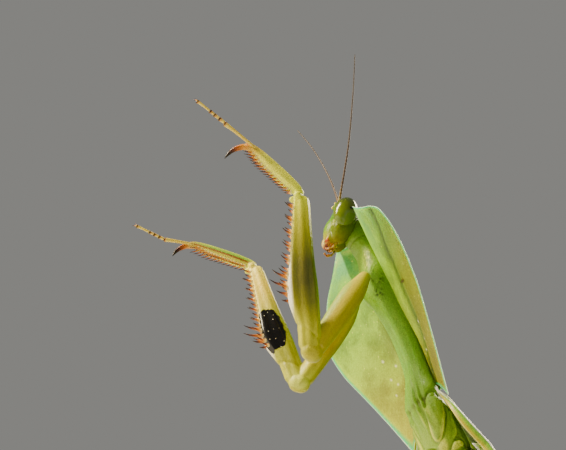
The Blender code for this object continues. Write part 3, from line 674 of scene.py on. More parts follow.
# Feelers: threads of some forty short rings on a thick first joint, brown and matt.
feeler_chitin, tree, shader, place = cuticle("brown_thread_chitin", 0.5)
thread_tint = add(tree, "ValToRGB", {0: "along"}, {
    0.0: "7c7c10", 0.05: "6c5410", 0.12: "442c14", 0.5: "3a2614", 1.0: "2c1c10"})
tree.links.new(thread_tint.outputs["Color"], shader.inputs["Base Color"])
FEELERS = {"left": ((0.18, 0.22, 0.94), 21.0, 1.0), "right": ((0.43, -0.45, 0.78), 20.7, 2.2)}
for side, sign in SIDES:
    aim, length, sag = FEELERS[side]
    aim = np.array(aim) / np.linalg.norm(aim)
    root = np.array((2.05, sign * 0.75, 1.1))
    droop = np.array((0.5, 0.0, -0.5)) * sag
    path = [root, root + (0.2, 0, 0.9), root + aim * length * 0.35 - droop * 0.6,
            root + aim * length * 0.7 - droop * 0.5, root + aim * length]
    rings_of = lambda share, angle: 0.012 * np.cos(share * 42 * 2 * math.pi)
    thread = tube(path, [0.27, 0.17, 0.12, 0.09, 0.06], (1, 0.1, 0), 340, 12, (0.2, 0.2),
                  shape=rings_of)
    piece("feeler_" + side, HEAD, [(*thread, 0)], [feeler_chitin], "antenna_cuticle",
          "antenna_" + side)

# ---- forelegs ----------------------------------------------------------------------------
# Raptorial legs: a long hip joint, a deep spined femur and a short tibia that shuts on it
# like a jackknife. One waxy skin from hip to foot; the black patch is on the inner face.
FORE_BASE = (-9.1, 2.6, -0.6)
COXA_LENGTH, FEMUR_LENGTH, TIBIA_LENGTH, CLAW_LENGTH = 14.0, 19.6, 7.9, 3.6
BASITARSUS_LENGTH, TARSUS_END_LENGTH = 5.9, 4.2
LEG_GRAIN = 0.095             # size of the remeshed skin's cells (mm)
FORELEGS = {   # degrees outward and dorsal of coxa, femur, tibia, basitarsus and tarsus
    "left": ((169, -43), (14, 8), (3, -31), (23, -50), (27, -45)),
    "right": ((179, -44), (10, -2), (15, -51), (-24, -78), (-60, -56))}
FEMUR_ROWS = [  # share from the hip, half width, above and below the line to the knee (mm)
    (0.02, 0.80, 0.80, 1.05), (0.06, 0.94, 0.98, 1.36), (0.11, 1.00, 1.10, 1.36),
    (0.17, 1.05, 1.18, 1.42), (0.24, 1.10, 1.22, 1.80), (0.32, 1.12, 1.24, 2.22),
    (0.42, 1.12, 1.20, 2.48), (0.52, 1.05, 1.08, 2.22), (0.64, 0.95, 1.00, 1.85),
    (0.80, 0.84, 0.98, 1.45), (0.92, 0.76, 0.98, 1.12), (0.985, 0.60, 0.80, 0.85)]


def unit(v):
    return np.asarray(v, float) / np.linalg.norm(v)


def toward(angles, sign):
    """Direction from degrees outward from forward and degrees dorsal."""
    out, up = (math.radians(a) for a in angles)
    return np.array((math.cos(up) * math.cos(out), sign * math.cos(up) * math.sin(out),
                     math.sin(up)))


def square(v, axis):
    """The part of v at right angles to axis, as a unit vector."""
    return unit(v - axis * np.dot(v, axis))


def bone_marks(points, bones):
    """Marks of a leg's skin from its bones (start, end, under, inside): reach along the leg,
    0 to 1, and how far under and inside of the nearest bone, 0.5 on it and 5 mm to 1."""
    best = np.full(len(points), np.inf)
    marks = {key: np.zeros(len(points)) for key in ("reach", "under", "inside")}
    for number, (start, end, under, inside) in enumerate(bones):
        line = end - start
        t = (points - start) @ line / (line @ line)
        off = points - start - np.clip(t, 0, 1)[:, None] * line
        away = np.linalg.norm(off, axis=1)
        near = away < best
        best[near] = away[near]
        marks["reach"][near] = ((number + np.clip(t, 0, 1)) / len(bones))[near]
        marks["under"][near] = (off @ under / 5 + 0.5)[near]
        marks["inside"][near] = (off @ inside / 5 + 0.5)[near]
    return marks


def thorn(root, aim, length, thick, bend):
    """A sharp spine (mm) of a length and thickness that curves towards bend."""
    aim, bend = unit(aim), np.asarray(bend, float)
    path = [root - aim * 0.12 * length, root + aim * 0.06 * length, root + aim * length * 0.26,
            root + aim * length * 0.66 + bend * length * 0.07,
            root + aim * length + bend * length * 0.24]
    side = np.cross(aim, bend)
    side = side if np.linalg.norm(side) > 0.01 else (1, 0.3, 0.2)
    return tube(path, [thick * 1.35, thick * 1.4, thick * 0.9, thick * 0.5, 0.02], side,
                max(9, int(length * 9)), 8, (0, 0.05))


def foot(joints, radii, up, out, number, pad=0.0):
    """Adds the foot's joints to out, each flared at its end, with a pad (mm) below it.

    radii are each joint's two; the mark is the distance from the nearest joint (mm).
    """
    for a, b, (r0, r1) in zip(joints, joints[1:], radii):
        ahead = unit(b - a)
        points, faces, marks = tube(
            [a - ahead * 0.12, a + (b - a) * 0.3, a + (b - a) * 0.75, b + ahead * 0.06],
            [r0, r0 * 0.95, (r1 * 0.9, r1 * 0.8, r1 * 0.95), (r1, r1 * 0.85, r1 * 1.15 + pad)],
            up, 28, 16, (r0 * 0.8, r1 * 0.7))
        nearest = np.minimum(2 * marks["along"], 1 - marks["along"]) * np.linalg.norm(b - a)
        out.append((points, faces, {"joint": nearest}, number))


# Waxy leg chitin: yellow olive, greener along the outer edge, ivory along the spined edge; with
# painted light and shade.
leg_chitin, tree, shader, place = cuticle("waxy_leg_chitin", 0.42, 0.15)
inner_share = add(tree, "ValToRGB", {0: "inside"}, {0.5: "000000", 0.62: "ffffff"})
on_tibia = add(tree, "MapRange", {"Value": "reach", "From Min": 0.67, "From Max": 0.7})
inner_face = add(tree, "Mix", {
    0: on_tibia,
    6: ("reach", {0.0: "bfb927", 0.2: "b89f1a", 0.31: "bcc034", 0.335: "c8d050", 0.37: "969a10",
                  0.4: "8e9210", 0.5: "98a018", 0.6: "f0d448", 0.655: "f8e864", 0.7: "8a8c08",
                  0.85: "86800a", 1.0: "9c3004"}),
    7: ("under", {0.38: "5a9a08", 0.505: "6c9c06", 0.53: "7c3404", 0.55: "7c3404",
                  0.575: "b8b030", 0.66: "d4cc50"})})           # green, brown line, comb
# painted light and shade across the femur, over its own marking: bright yellow on the lit side,
# dark olive in the shaded middle
femur_painted_light_and_shade = add(tree, "Mix", {
    0: ("reach", {0.33: "c8c8c8", 0.385: "d0d0d0", 0.43: "707070", 0.475: "202020",
                  0.515: "343434", 0.57: "a0a0a0", 0.62: "e0e0e0", 0.65: "f0f0f0"}),
    6: ("under", {0.22: "4c7c06", 0.29: "344e00", 0.35: "303800", 0.47: "363600", 0.6: "3e3c00",
                  0.7: "444200", 0.79: "545200", 0.83: "8e8604", 0.88: "c0b860"}),
    7: "dedc0e"})
past_hip = add(tree, "MapRange", {"Value": "reach", "From Min": 0.31, "From Max": 0.36})
across = add(tree, "Mix", {
    0: past_hip, 6: ("under", {0.18: "c8b41e", 0.4: "b8aa1c", 0.62: "969018", 0.82: "747c10"}),
    7: femur_painted_light_and_shade})
before_knee = add(tree, "Mix", {0: inner_share, 7: "000000",
                                6: ("reach", {0.61: "f4f4f4", 0.64: "000000"})})
# ivory along the spined edge, partly painted highlight
spined_edge_ivory_and_highlight = add(tree, "Mix", {
    0: ("under", {0.82: "000000", 0.88: "f4f4f4"}), 6: "000000",
    7: ("reach", {0.37: "000000", 0.43: "ffffff", 0.56: "ffffff", 0.62: "303030",
                  0.66: "000000"})})
lengthwise = add(tree, "CombineXYZ", {
    axis: add(tree, "Math", {0: mark, 1: often}, operation="MULTIPLY")
    for axis, mark, often in (("X", "under", 10.0), ("Y", "reach", 9.0), ("Z", "inside", 9.0))})
streak = add(tree, "TexNoise", {"Vector": lengthwise, "Scale": 1.0, "Detail": 4.0,
                                "Roughness": 0.55})
ragged = add(tree, "TexNoise", {"Vector": place, "Scale": 1 / (0.9 * MM), "Detail": 4.0,
                                "Roughness": 0.6})
raggedness = add(tree, "Math", {0: ragged, 1: 0.45}, operation="MULTIPLY")
patch_edge = add(tree, "Math", {0: "patch", 1: raggedness}, operation="ADD")
patch = add(tree, "ValToRGB", {0: patch_edge}, {0.47: "000000", 0.51: "ffffff"})
# white dots on the black patch: painted glints
dots = add(tree, "TexVoronoi", {"Vector": place, "Scale": 1 / (0.5 * MM)})
black = add(tree, "Mix", {0: (dots, {0.08: "ffffff", 0.12: "000000"}), 6: "050403",
                          7: "f0ead0"})
field = ("reach", {0.0: "b8bc2c", 0.06: "b4a81e", 0.2: "b09c1a", 0.31: "acac34", 0.345: "a4ac2c",
                   0.4: "8c9605", 0.5: "858b02", 0.62: "ccd010", 0.67: "e4ee24", 0.72: "eef23c",
                   0.9: "ecea48", 1.0: "c27606"})
for share_of, colour in (
        (inner_share, inner_face), (before_knee, across),
        (("under", {0.24: "d0d0d0", 0.3: "000000"}), "7cb020"), (spined_edge_ivory_and_highlight, "f2f0e2"),
        ((streak, {0.5: "000000", 0.7: "686868"}), "c7bc28"),
        ((streak, {0.32: "909090", 0.48: "000000"}), "5a6901"), (patch, black)):
    field = add(tree, "Mix", {0: share_of, 6: field, 7: colour})
polish = skin(tree, shader, place, field, 0.12, 0.02, 0.24)
polish = add(tree, "Mix", {0: patch, 2: polish, 3: 0.2})
tree.links.new(polish.outputs[0], shader.inputs["Roughness"])
smooth = add(tree, "Mix", {0: patch, 2: 1.0, 3: 0.12})          # bump of the patch
for node in [n for n in tree.nodes if n.type == "BUMP"]:
    tree.links.new(smooth.outputs[0], node.inputs["Strength"])

# Foot joints: straw-coloured chitin, black-brown within a fifth of a millimetre of a joint.
foot_chitin, tree, shader, place = cuticle("banded_foot_chitin", 0.4, 0.15, 0.2)
fuzz = add(tree, "TexNoise", {"Vector": place, "Scale": 1 / (0.3 * MM), "Detail": 3.0})
field = add(tree, "Mix", {
    0: (fuzz, {0.45: "000000", 0.62: "909090"}), 7: "b49f1a",
    6: ("joint", {0.0: "1c0c08", 0.13: "2c1004", 0.19: "7a3006", 0.27: "ce9a38", 0.5: "dcc858",
                  1.0: "d6bc3f"})})
skin(tree, shader, place, field, 0.08, 0.018)

# Spines and claws: hard tanned chitin, ivory at the root, then orange, black at the point.
spine_chitin, tree, shader, place = cuticle("tanned_spine_chitin", 0.3, 0.1)
band = add(tree, "TexNoise", {"Vector": place, "Scale": 1 / (0.4 * MM), "Detail": 2.0})
field = add(tree, "Mix", {
    0: (band, {0.5: "000000", 0.65: "606060"}), 7: "8a4a06",
    6: ("along", {0.0: "e6dcae", 0.15: "e0c878", 0.24: "cc8a0a", 0.42: "a45404", 0.6: "501a02",
                  0.76: "1a0602", 1.0: "0c0504"})})
skin(tree, shader, place, field, 0.06, 0.011)

shuffle = random.Random(7)
for side, sign in SIDES:
    coxa, femur, tibia, basitarsus, tarsus = (toward(angles, sign) for angles in FORELEGS[side])
    base = np.array(FORE_BASE) * (1, sign, 1)
    hip = base + coxa * COXA_LENGTH
    knee = hip + femur * FEMUR_LENGTH
    heel = knee + tibia * TIBIA_LENGTH
    inner = square(tibia, femur)
    coxa_up = square(femur, coxa)
    claw = unit(inner * 0.95 - femur * 0.3)
    tibia_up = square(-claw, tibia)
    lateral = np.cross(femur, inner)
    at_coxa = lambda t: base + coxa * COXA_LENGTH * t
    at_femur = lambda t: hip + femur * FEMUR_LENGTH * t
    at_tibia = lambda t: knee + tibia * TIBIA_LENGTH * t
    coxa_ridge = lambda share, angle: 0.07 * np.cos(3 * angle + 0.5) * ease(0.05, 0.3, share)
    tibia_ridge = lambda share, angle: 0.06 * np.cos(5 * angle + 0.6)
    groove = lambda share, angle: (           # under the femur, and the ring by its root
        0.05 * np.cos(8 * angle)
        - 0.38 * bell(angle - 1.5 * math.pi, 0.3) * ease(0.3, 0.45, share)
        * (1 - ease(0.93, 0.99, share))
        - 0.13 * bell(share - 0.11 + 0.055 * np.sin(angle), 0.009))
    lumps = [
        tube([at_coxa(t) for t in (-0.07, 0.0, 0.08, 0.22, 0.45, 0.7, 0.9, 0.97)],
             [0.6, (0.85, 0.8, 0.8), (1.08, 1.0, 1.1), (1.36, 1.35, 1.45), (1.36, 1.35, 1.5),
              (1.18, 1.2, 1.3), (1.08, 1.1, 1.1), 0.9], coxa_up, 120, 40, (0.6, 0.7),
             shape=coxa_ridge),
        ball(hip - coxa * 0.25, (1.14, 1.1, 1.1)),
        ball(hip + femur * 0.35 + inner * 0.15, (1.1, 1.0, 1.1)),
        tube([at_femur(row[0]) for row in FEMUR_ROWS], [row[1:] for row in FEMUR_ROWS], -inner,
             160, 56, (0.5, 0.6), 2.25, groove),
        *(ball(knee - femur * 0.35 + inner * 0.35 + lateral * lean * 0.42, (0.5, 0.42, 0.5),
               sides=24) for lean in (-1, 1)),                  # knee lobes
        ball(knee - femur * 0.7 + inner * 1.0, (0.42, 0.4, 0.42), sides=24),
        ball(knee + tibia * 0.12, 0.5, sides=24),
        tube([*(at_tibia(t) for t in (0.0, 0.1, 0.3, 0.62, 0.92)),
              heel + tibia * 0.75 + claw * 0.2, heel + tibia * 1.05 + claw * 0.9],
             [(0.42, 0.5, 0.45), (0.52, 0.64, 0.72), (0.6, 0.74, 0.92), (0.58, 0.72, 0.88),
              (0.5, 0.62, 0.66), (0.42, 0.48, 0.46), 0.34], tibia_up, 110, 32, (0.4, 0.4), 2.2,
             tibia_ridge)]
    points, faces = blended(lumps, LEG_GRAIN, 9)
    inside = [unit(np.cross(a, b)) for a, b in (
        (coxa, coxa_up), (femur, inner), (tibia, tibia_up))]
    inside = [v if v[1] * sign < 0 else -v for v in inside]
    marks = bone_marks(points, [(base, hip, -coxa_up, inside[0]), (hip, knee, inner, inside[1]),
                                (knee, heel + tibia * 1.2, -tibia_up, inside[2])])
    share = marks["reach"] * 3 - 1
    spot = np.abs((share - 0.42) / 0.16) ** 3 + np.abs((marks["under"] - 0.73) / 0.33) ** 3
    marks["patch"] = np.clip(1.25 - spot ** (1 / 3), 0, 1) * ease(0.5, 0.56, marks["inside"])
    parts = [(points, faces, marks, 0)]
    root = heel - tibia * 0.7 + tibia_up * 0.35
    start = heel - tibia * 0.8 + tibia_up * 1.05
    joint = start + basitarsus * BASITARSUS_LENGTH
    tip = joint + tarsus * TARSUS_END_LENGTH
    joints = [root, joint] + [joint + (tip - joint) * t for t in (0.2, 0.38, 0.54, 1.0)]
    foot(joints, [(0.19, 0.24), (0.2, 0.27), (0.19, 0.26), (0.18, 0.25), (0.15, 0.2)],
         tibia_up, parts, 1, 0.14)
    piece("foreleg_" + side, FRONT, parts, [leg_chitin, foot_chitin], "fore_femur_cuticle",
          *("fore_" + part + "_" + side for part in ("coxa", "trochanter", "femur", "tibia",
                                                     "tarsus")))
    spines = []                        # two rows under the femur
    for row, count, first, last in ((1, 16, 0.32, 0.93), (-1, 7, 0.40, 0.90)):
        for i in range(count):
            t = first + (last - first) * i / (count - 1)
            below = curve(FEMUR_ROWS, t)[2]
            long = (0.85 + 0.3 * (i % 2)) if row == 1 else 1.15
            spot = at_femur(t) + inner * (below - 0.28) + inside[1] * row * 0.42
            spines.append(thorn(spot, inner + femur * 0.5 + inside[1] * row * 0.2,
                                long * (1 + 0.08 * shuffle.uniform(-1, 1)), 0.18,
                                femur))
    for t, long, lean in ((0.47, 2.1, 0.35), (0.42, 2.3, 0.2), (0.37, 1.6, 0.1),
                          (0.33, 1.2, -0.1)):           # long spines in the middle
        below = curve(FEMUR_ROWS, t)[2]
        spines.append(thorn(at_femur(t) + inner * (below - 0.4), inner + femur * lean,
                            long, 0.22, femur))
    for row, count in ((1, 15), (-1, 13)):                      # comb of the tibia
        for i in range(count):
            t = 0.12 + 0.86 * i / (count - 1)
            spines.append(thorn(
                at_tibia(t) - tibia_up * (0.72 - 0.35 * ease(0.7, 1.0, t))
                + inside[2] * row * 0.24,
                -tibia_up * 0.8 + tibia * 0.85 + inside[2] * row * 0.25,
                0.7 + 0.45 * t, 0.125, tibia))
    hook = tube([heel + tibia * 0.6 + claw * 0.05, heel + tibia * 1.15 + claw * 0.8,
                 heel + tibia * 1.2 + claw * 1.9, heel + tibia * 0.9 + claw * 2.8,
                 heel + tibia * 0.45 + claw * CLAW_LENGTH],
                [0.36, 0.36, 0.29, 0.19, 0.03], tibia_up, 70, 18, (0.3, 0.1))
    spines.append(hook)
    toe = unit(joints[-1] - joints[-2])
    for lean in (-1, 1):
        out = square(np.cross(toe, tibia_up), toe) * lean
        spines.append(thorn(joints[-1] + out * 0.08, toe * 0.9 + out * 0.7, 0.5, 0.06,
                            -tibia_up))
    piece("spines_and_claws_" + side, FRONT, [(*spine, 0) for spine in spines], [spine_chitin],
          "fore_tibia_cuticle")

# ---- wing covers -------------------------------------------------------------------------
# Two leathery fore wings folded flat over the abdomen, left over right: sheets a third of a
# millimetre thick with raised veins, held by the front corner of each to the thorax.
TEGMEN_LENGTH = 45.0
TEGMEN_THICKNESS = 0.3
COSTAL_EDGE = [(0, 3.95), (1.0, 4.9), (2.0, 6.2), (10.0, 9.0), (18.0, 11.2), (25.0, 11.5),
               (33.0, 10.0), (39.0, 7.2), (43.0, 4.0), (45.0, 1.9)]
INNER_EDGE = [(0, 3.7), (4.0, 1.0), (12.0, -3.0), (34.0, -3.0), (41.0, -1.6), (45.0, 0.9)]
WING_ROOT = 1.8               # of all four wings, forward in the rear frame (mm)
FLANGE_START = 0.84           # share of the width where the front edge turns down


def folded_roof(y, back):
    """Height of the folded wings over the rear body, lower at their roots (mm)."""
    far = np.abs(y) / 8.5
    root = 1 - np.minimum(1.0, back / 9.0)
    return 2.75 - 2.9 * np.where(far < 1, far ** 1.6, far ** 0.6) - 1.9 * root


def wing_sheet(sign, lift):
    """Points (mm), faces and marks of one folded wing cover; lift raises it near the middle."""
    u, v = np.meshgrid(np.linspace(0, 1, 260), np.linspace(0, 1, 130), indexing="ij")
    back = TEGMEN_LENGTH * u
    outer, inner = curve(COSTAL_EDGE, back), curve(INNER_EDGE, back)
    flat = np.minimum(v / FLANGE_START, 1)
    down = np.clip((v - FLANGE_START) / (1 - FLANGE_START), 0, 1)
    y = inner + (outer - inner) * flat
    drop = 0.78 * ease(0.0, 7.0, back) * (1 - ease(14.0, 36.0, back))
    z = folded_roof(y, back) + lift * ease(0, 1, (5.6 - y) / 2.2) - drop * down ** 1.15
    y = y + 0.12 * np.sin(down * math.pi) - 0.1 * down
    under = np.stack((WING_ROOT - back + 0.4 * down * (1 - u) ** 8, sign * y, z), -1)
    rim = np.minimum.reduce([(outer - inner) * v, 8.5 * (1 - v), back,
                             TEGMEN_LENGTH - back])
    middle = 0.60 * FLANGE_START + 0.1 * u
    main = bell(v - middle, 0.016)
    fan = 7 * (v - middle) / (0.16 + u) + 3.2 * u
    branches = bell(fan - np.round(fan), 0.07) * ease(0.03, 0.12, u)
    cross = 34 * u + 5 * np.abs(v - 0.62)
    rungs = bell(cross - np.round(cross), 0.09) * 0.5
    vein = np.clip(main + 0.6 * branches + 0.35 * rungs, 0, 1) * ease(0.82, 0.74, v)
    under[..., 2] += 0.25 * bell(v - middle, 0.06) * np.clip(rim, 0, 1)
    round_rim = np.sqrt(1 - (1 - np.clip(rim / 0.12, 0, 1)) ** 2)
    mirror = (lambda a: a) if sign > 0 else (lambda a: a[:, ::-1])
    thick = (TEGMEN_THICKNESS * (0.4 + 0.6 * ease(0, 1.5, rim)) + 0.08 * vein) * round_rim
    points, faces = slab(mirror(under), mirror(thick))
    twice = lambda a: np.concatenate((mirror(a).ravel(),) * 2)
    return points, faces, {"rim": twice(rim), "along": twice(u), "across": twice(v),
                           "vein": twice(vein)}


# Leathery wing chitin: thin, satin, leaf green, with a near-white line along the fold, painted
# highlight, and a yellow strip at the front edge.
wing_chitin, tree, shader, place = cuticle("leathery_wing_chitin", 0.45, 0.4, 0.1)
cloud = add(tree, "TexNoise", {"Vector": place, "Scale": 1 / (2.5 * MM), "Detail": 3.0})
at_rim = add(tree, "MapRange", {"Value": "rim", "From Min": 0.03, "From Max": 0.12,
                                "To Min": 1.0, "To Max": 0.0})
# near white at 0.835 to 0.862 across: painted highlight along the fold
field = ("across", {0.0: "6e9f02", 0.4: "629301", 0.7: "6e9f02", 0.81: "7ca80c", 0.835: "f6f6ee",
                    0.862: "f0f2ea", 0.872: "78b040", 0.90: "78a81c", 0.94: "90a00c",
                    0.962: "aa9610", 0.98: "b2a216", 1.0: "dcd46c"})
for share_of, colour in (
        (("across", {0.76: "505050", 0.82: "000000"}),
         ("along", {0.0: "acc626", 0.2: "8cb40b", 0.6: "749f06", 1.0: "858b0b"})),
        (("along", {0.0: "ffffff", 0.018: "d0d0d0", 0.036: "000000"}), "cfc8d4"),
        ((cloud, {0.42: "000000", 0.66: "808080"}), "638b03"),
        (add(tree, "Math", {0: "vein", 1: 0.4}, operation="MULTIPLY"), "cdd438"),
        (at_rim, "d2cc70")):
    field = add(tree, "Mix", {0: share_of, 6: field, 7: colour})
skin(tree, shader, place, field, 0.22, 0.027, 0.25)
for side, sign, lift in (("left", 1, 0.45), ("right", -1, 0.0)):
    piece("wing_cover_" + side, REAR, [(*wing_sheet(sign, lift), 0)], [wing_chitin],
          "wing_cuticle", "tegmen_" + side)

# Hind wings: clear pleated membrane, folded small under the covers; the edge is seen.
HIND_WING_START, HIND_WING_LENGTH = 7.8, 32.5
HIND_WING_INNER = 0.9
membrane, tree, shader, place = cuticle("folded_wing_membrane", 0.3, 0.3, 0.3)
cloud = add(tree, "TexNoise", {"Vector": place, "Scale": 1 / (0.8 * MM), "Detail": 2.0})
field = add(tree, "Mix", {
    0: (cloud, {0.45: "000000", 0.65: "606060"}), 7: "9daa2d",
    6: ("across", {0.0: "8b971a", 0.6: "aeb538", 0.9: "ecebe0", 1.0: "fafaf4"})})
skin(tree, shader, place, field, 0.15, 0.018, 0.25)
for side, sign in SIDES:
    u, v = np.meshgrid(np.linspace(0, 1, 200), np.linspace(0, 1, 60), indexing="ij")
    back = HIND_WING_START + HIND_WING_LENGTH * u
    wide = curve(COSTAL_EDGE, back) - 1.0 - 3.2 * ease(6.0, 16.0, back) - HIND_WING_INNER
    y = HIND_WING_INNER + wide * v
    z = folded_roof(y, back) - 0.38 - 0.85 * v ** 6 * (1 - ease(12.0, 20.0, back))
    z = z + 0.035 * np.cos(y * 9.0)
    if sign < 0:
        y, z, v = -y[:, ::-1], z[:, ::-1], v[:, ::-1]
    rim = np.minimum.reduce([wide * v, wide * (1 - v), HIND_WING_LENGTH * u,
                             HIND_WING_LENGTH * (1 - u)])
    points, faces = slab(np.stack((WING_ROOT - back, y, z), -1),
                         0.14 * np.sqrt(np.clip(rim / 0.1, 0, 1)))
    marks = {"across": np.concatenate((v.ravel(),) * 2)}
    piece("hind_wing_" + side, REAR, [(points, faces, marks, 0)], [membrane], "wing_cuticle")

# ---- walking legs and tail feelers --------------------------------------------------------
# Four long plain legs, one skin each from hip to ankle, on jointed feet with flat soles and
# two toe claws; the rear pair and the two short ringed tail feelers hold to the rear body.
ANKLE_HEIGHT, WALKING_COXA = 1.3, 4.6
WALKING = {   # hip base in the rear frame, coxa spread and sweep, lengths, ankles (mm)
    "mid": {"base": (-4.4, 2.4, -3.3), "coxa": (40, 30), "femur": 18.0, "tibia": 16.5,
            "tarsus": 8.5, "left": (15.25, -8.97), "right": (-21.25, -7.97), "toe": -62},
    "hind": {"base": (-8.0, 2.6, -3.3), "coxa": (40, -10), "femur": 21.0, "tibia": 21.5,
             "tarsus": 9.2, "left": (22.25, 30.53), "right": (-22.25, 31.03), "toe": 38}}


def bent_knee(hip, ankle, upper, lower, pole):
    """Knee of a two-bone leg between hip and ankle, on the side of the pole."""
    line = ankle - hip
    reach = min(np.linalg.norm(line), upper + lower - 0.05)
    along = (upper ** 2 - lower ** 2 + reach ** 2) / (2 * reach)
    ahead = unit(line)
    return hip + ahead * along + square(pole, ahead) * math.sqrt(
        max(upper ** 2 - along ** 2, 0.0))


# Waxy chitin of the walking legs: leaf green, straw-coloured towards the joints.
walk_chitin, tree, shader, place = cuticle("waxy_walking_leg_chitin", 0.36, 0.2, 0.2)
patchy = add(tree, "TexNoise", {"Vector": place, "Scale": 1 / (1.1 * MM), "Detail": 4.0})
field = add(tree, "Mix", {
    0: (patchy, {0.46: "000000", 0.68: "909090"}), 7: "507602",
    6: ("reach", {0.0: "6e9307", 0.28: "7e9f0b", 0.34: "6c9505", 0.5: "699304", 0.63: "8ca412",
                  0.67: "ac9e1a", 0.72: "789a09", 0.95: "859710", 1.0: "a16912"})})
skin(tree, shader, place, field, 0.12, 0.025)
for name, leg in WALKING.items():
    for side, sign in SIDES:
        base = world(np.array(leg["base"]) * (1, sign, 1), REAR)
        spread, sweep = (math.radians(a) for a in leg["coxa"])
        hip = base + WALKING_COXA * unit((sign * math.sin(spread) * 0.8, -math.sin(sweep),
                                          -math.cos(spread)))
        ankle = np.array((*leg[side], ANKLE_HEIGHT))
        knee = bent_knee(hip, ankle, leg["femur"], leg["tibia"],
                         np.array((sign * 0.8, 0.25 if name == "hind" else -0.25, 1.0)))
        up = unit(np.cross((0, 0, 1), ankle - hip))
        ahead, down = unit(knee - hip), unit(ankle - knee)
        at_thigh = lambda t: hip + (knee - hip) * t
        at_shin = lambda t: knee + (ankle - knee) * t
        inward = unit(hip - base)
        ridge = lambda share, angle: 0.035 * np.cos(6 * angle)
        lumps = [
            tube([base - inward * 0.7, base + inward * 0.6, base + (hip - base) * 0.45,
                  base + (hip - base) * 0.85, hip], [0.8, 1.1, 1.15, 0.9, 0.7], up, 60, 28,
                 (0.6, 0.5)),
            ball(hip, (0.9, 0.88, 0.88), sides=32),
            tube([at_thigh(t) for t in (0.02, 0.08, 0.25, 0.5, 0.75, 0.94, 0.99)],
                 [0.55, 0.68, (0.86, 0.8, 0.8), (0.78, 0.72, 0.72), 0.6, 0.52, 0.5], up, 130,
                 28, (0.3, 0.3), shape=ridge),
            ball(knee, 0.54, sides=24),
            tube([at_shin(t) for t in (0.0, 0.05, 0.2, 0.6, 0.93, 1.0)],
                 [0.38, 0.5, 0.44, 0.4, 0.42, 0.4], up, 130, 22, (0.3, 0.3), shape=ridge)]
        points, faces = blended(lumps, LEG_GRAIN, 4)
        marks = bone_marks(points, [(base, hip, up, ahead), (hip, knee, up, down),
                                    (knee, ankle, up, ahead)])
        parts = [(points, faces, marks, 0)]
        heading = math.radians(leg["toe"])
        run = np.array((sign * math.cos(heading), math.sin(heading), 0))
        length = leg["tarsus"]
        joints = [ankle + run * (0.15 + (length - 0.15) * s) + (0, 0, high - ANKLE_HEIGHT)
                  for s, high in ((0.0, 0.95), (0.46, 0.6), (0.62, 0.42), (0.75, 0.38),
                                  (0.85, 0.36), (1.0, 0.33))]
        foot(joints, [(0.28, 0.33), (0.28, 0.36), (0.27, 0.35), (0.26, 0.34), (0.24, 0.3)],
             (0, 0, 1), parts, 1)
        beside, outward = np.cross(run, (0, 0, 1)), square(np.cross(down, up), down)
        for lean in (-1, 1):                # a toe claw and a spur of the ankle
            parts.append((*thorn(joints[-1] - run * 0.25 + beside * lean * 0.12,
                                 run * 0.7 + beside * lean * 0.75, 0.5, 0.08, (0, 0, -0.6)), 2))
            parts.append((*thorn(ankle - down * 0.2 + outward * lean * 0.3,
                                 down + outward * lean * 0.5, 0.7, 0.09, -outward * lean), 2))
        for p in parts:                     # the soles rest flat on the floor
            p[0][:, 2] = np.maximum(p[0][:, 2], 0.0)
        piece(name + "_leg_" + side, GROUND, parts, [walk_chitin, foot_chitin, spine_chitin],
              "leg_cuticle", *(name + "_" + part + "_" + side
                               for part in ("coxa", "femur", "tibia", "tarsus")))

for side, sign in SIDES:
    path = [(-38.9, sign * 1.5, -0.6), (-40.2, sign * 2.2, -0.6), (-41.6, sign * 2.7, -0.55),
            (-43.0, sign * 2.9, -0.4)]
    ringed = lambda share, angle: 0.05 * np.cos(share * 11 * 2 * math.pi)
    points, faces, marks = tube(
        path, [(0.42, 0.26, 0.26), (0.5, 0.3, 0.3), (0.42, 0.26, 0.26), (0.16, 0.14, 0.14)],
        (0, 0, 1), 130, 24, (0.3, 0.3), shape=ringed)
    piece("tail_feeler_" + side, REAR, [(points, faces, {"reach": marks["along"] * 0.3}, 0)],
          [walk_chitin], "abdomen_cuticle", "cercus_" + side)

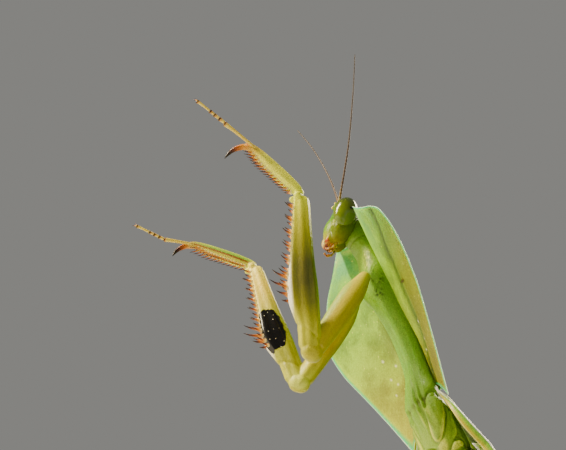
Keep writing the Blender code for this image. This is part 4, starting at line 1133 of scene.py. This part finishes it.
# ---- floor, light and camera ---------------------------------------------------------------
# A plain floor of matt pale paint, soft lamps and a camera low over the floor, which looks up
# at the reared front body.
FLOOR_SIZE = 4.0
floor_mesh = bpy.data.meshes.new("studio_floor")
h = FLOOR_SIZE / 2
floor_mesh.from_pydata([(-h, -h, 0), (h, -h, 0), (h, h, 0), (-h, h, 0)], [], [(0, 1, 2, 3)])
floor = bpy.data.objects.new("studio_floor", floor_mesh)
bpy.context.scene.collection.objects.link(floor)
floor_paint = bpy.data.materials.new("matt_pale_paint")
floor_paint.use_nodes = True
tree = floor_paint.node_tree
blotches = add(tree, "TexNoise", {"Vector": add(tree, "TexCoord").outputs["Object"],
                                  "Scale": 9.0, "Detail": 3.0})
wash = add(tree, "ValToRGB", {0: blotches}, {0.3: "d5d4ce", 0.7: "dddcd6"})
floor_shader = tree.nodes["Principled BSDF"]
tree.links.new(wash.outputs["Color"], floor_shader.inputs["Base Color"])
floor_shader.inputs["Roughness"].default_value = 0.8
floor_mesh.materials.append(floor_paint)

room = bpy.data.worlds.new("studio_room")
bpy.context.scene.world = room
room.use_nodes = True
glow = room.node_tree.nodes["Background"]
glow.inputs["Color"].default_value, glow.inputs["Strength"].default_value = tint("e4e3dd"), 0.3


def aimed(obj, target, roll=0.0):
    """Turns a lamp or camera to look at a point (m), rolled by degrees."""
    look = Vector(target) - obj.location
    obj.rotation_euler = (look.to_track_quat("-Z", "Y")
                          @ Quaternion((0, 0, 1), math.radians(roll))).to_euler()


SUBJECT = (-0.005, -0.012, 0.048)
for name, where, size, power, code in (
        ("key_lamp", (-0.02, -0.34, 0.22), (0.06, 0.26), 5.1, "ffedc8"),
        ("back_lamp", (-0.22, 0.14, 0.30), (0.16, 0.16), 2.1, "fff0d0"),
        ("fill_lamp", (0.30, 0.10, 0.16), (0.30, 0.30), 0.15, "f4f6ff")):
    lamp = bpy.data.lights.new(name, "AREA")
    lamp.shape, (lamp.size, lamp.size_y) = "RECTANGLE", size
    lamp.energy, lamp.color = power, tint(code)[:3]
    lamp_object = bpy.data.objects.new(name, lamp)
    bpy.context.scene.collection.objects.link(lamp_object)
    lamp_object.location = where
    aimed(lamp_object, SUBJECT)

camera = bpy.data.cameras.new("camera")
camera.sensor_width = 36.0
camera.lens = 67.19
camera.clip_start, camera.clip_end = 0.002, 20.0
camera_object = bpy.data.objects.new("camera", camera)
bpy.context.scene.collection.objects.link(camera_object)
camera_object.location = (0.11614, -0.00946, 0.00483)
aimed(camera_object, (0.00425, -0.01876, 0.04719), 22.1)
bpy.context.scene.camera = camera_object
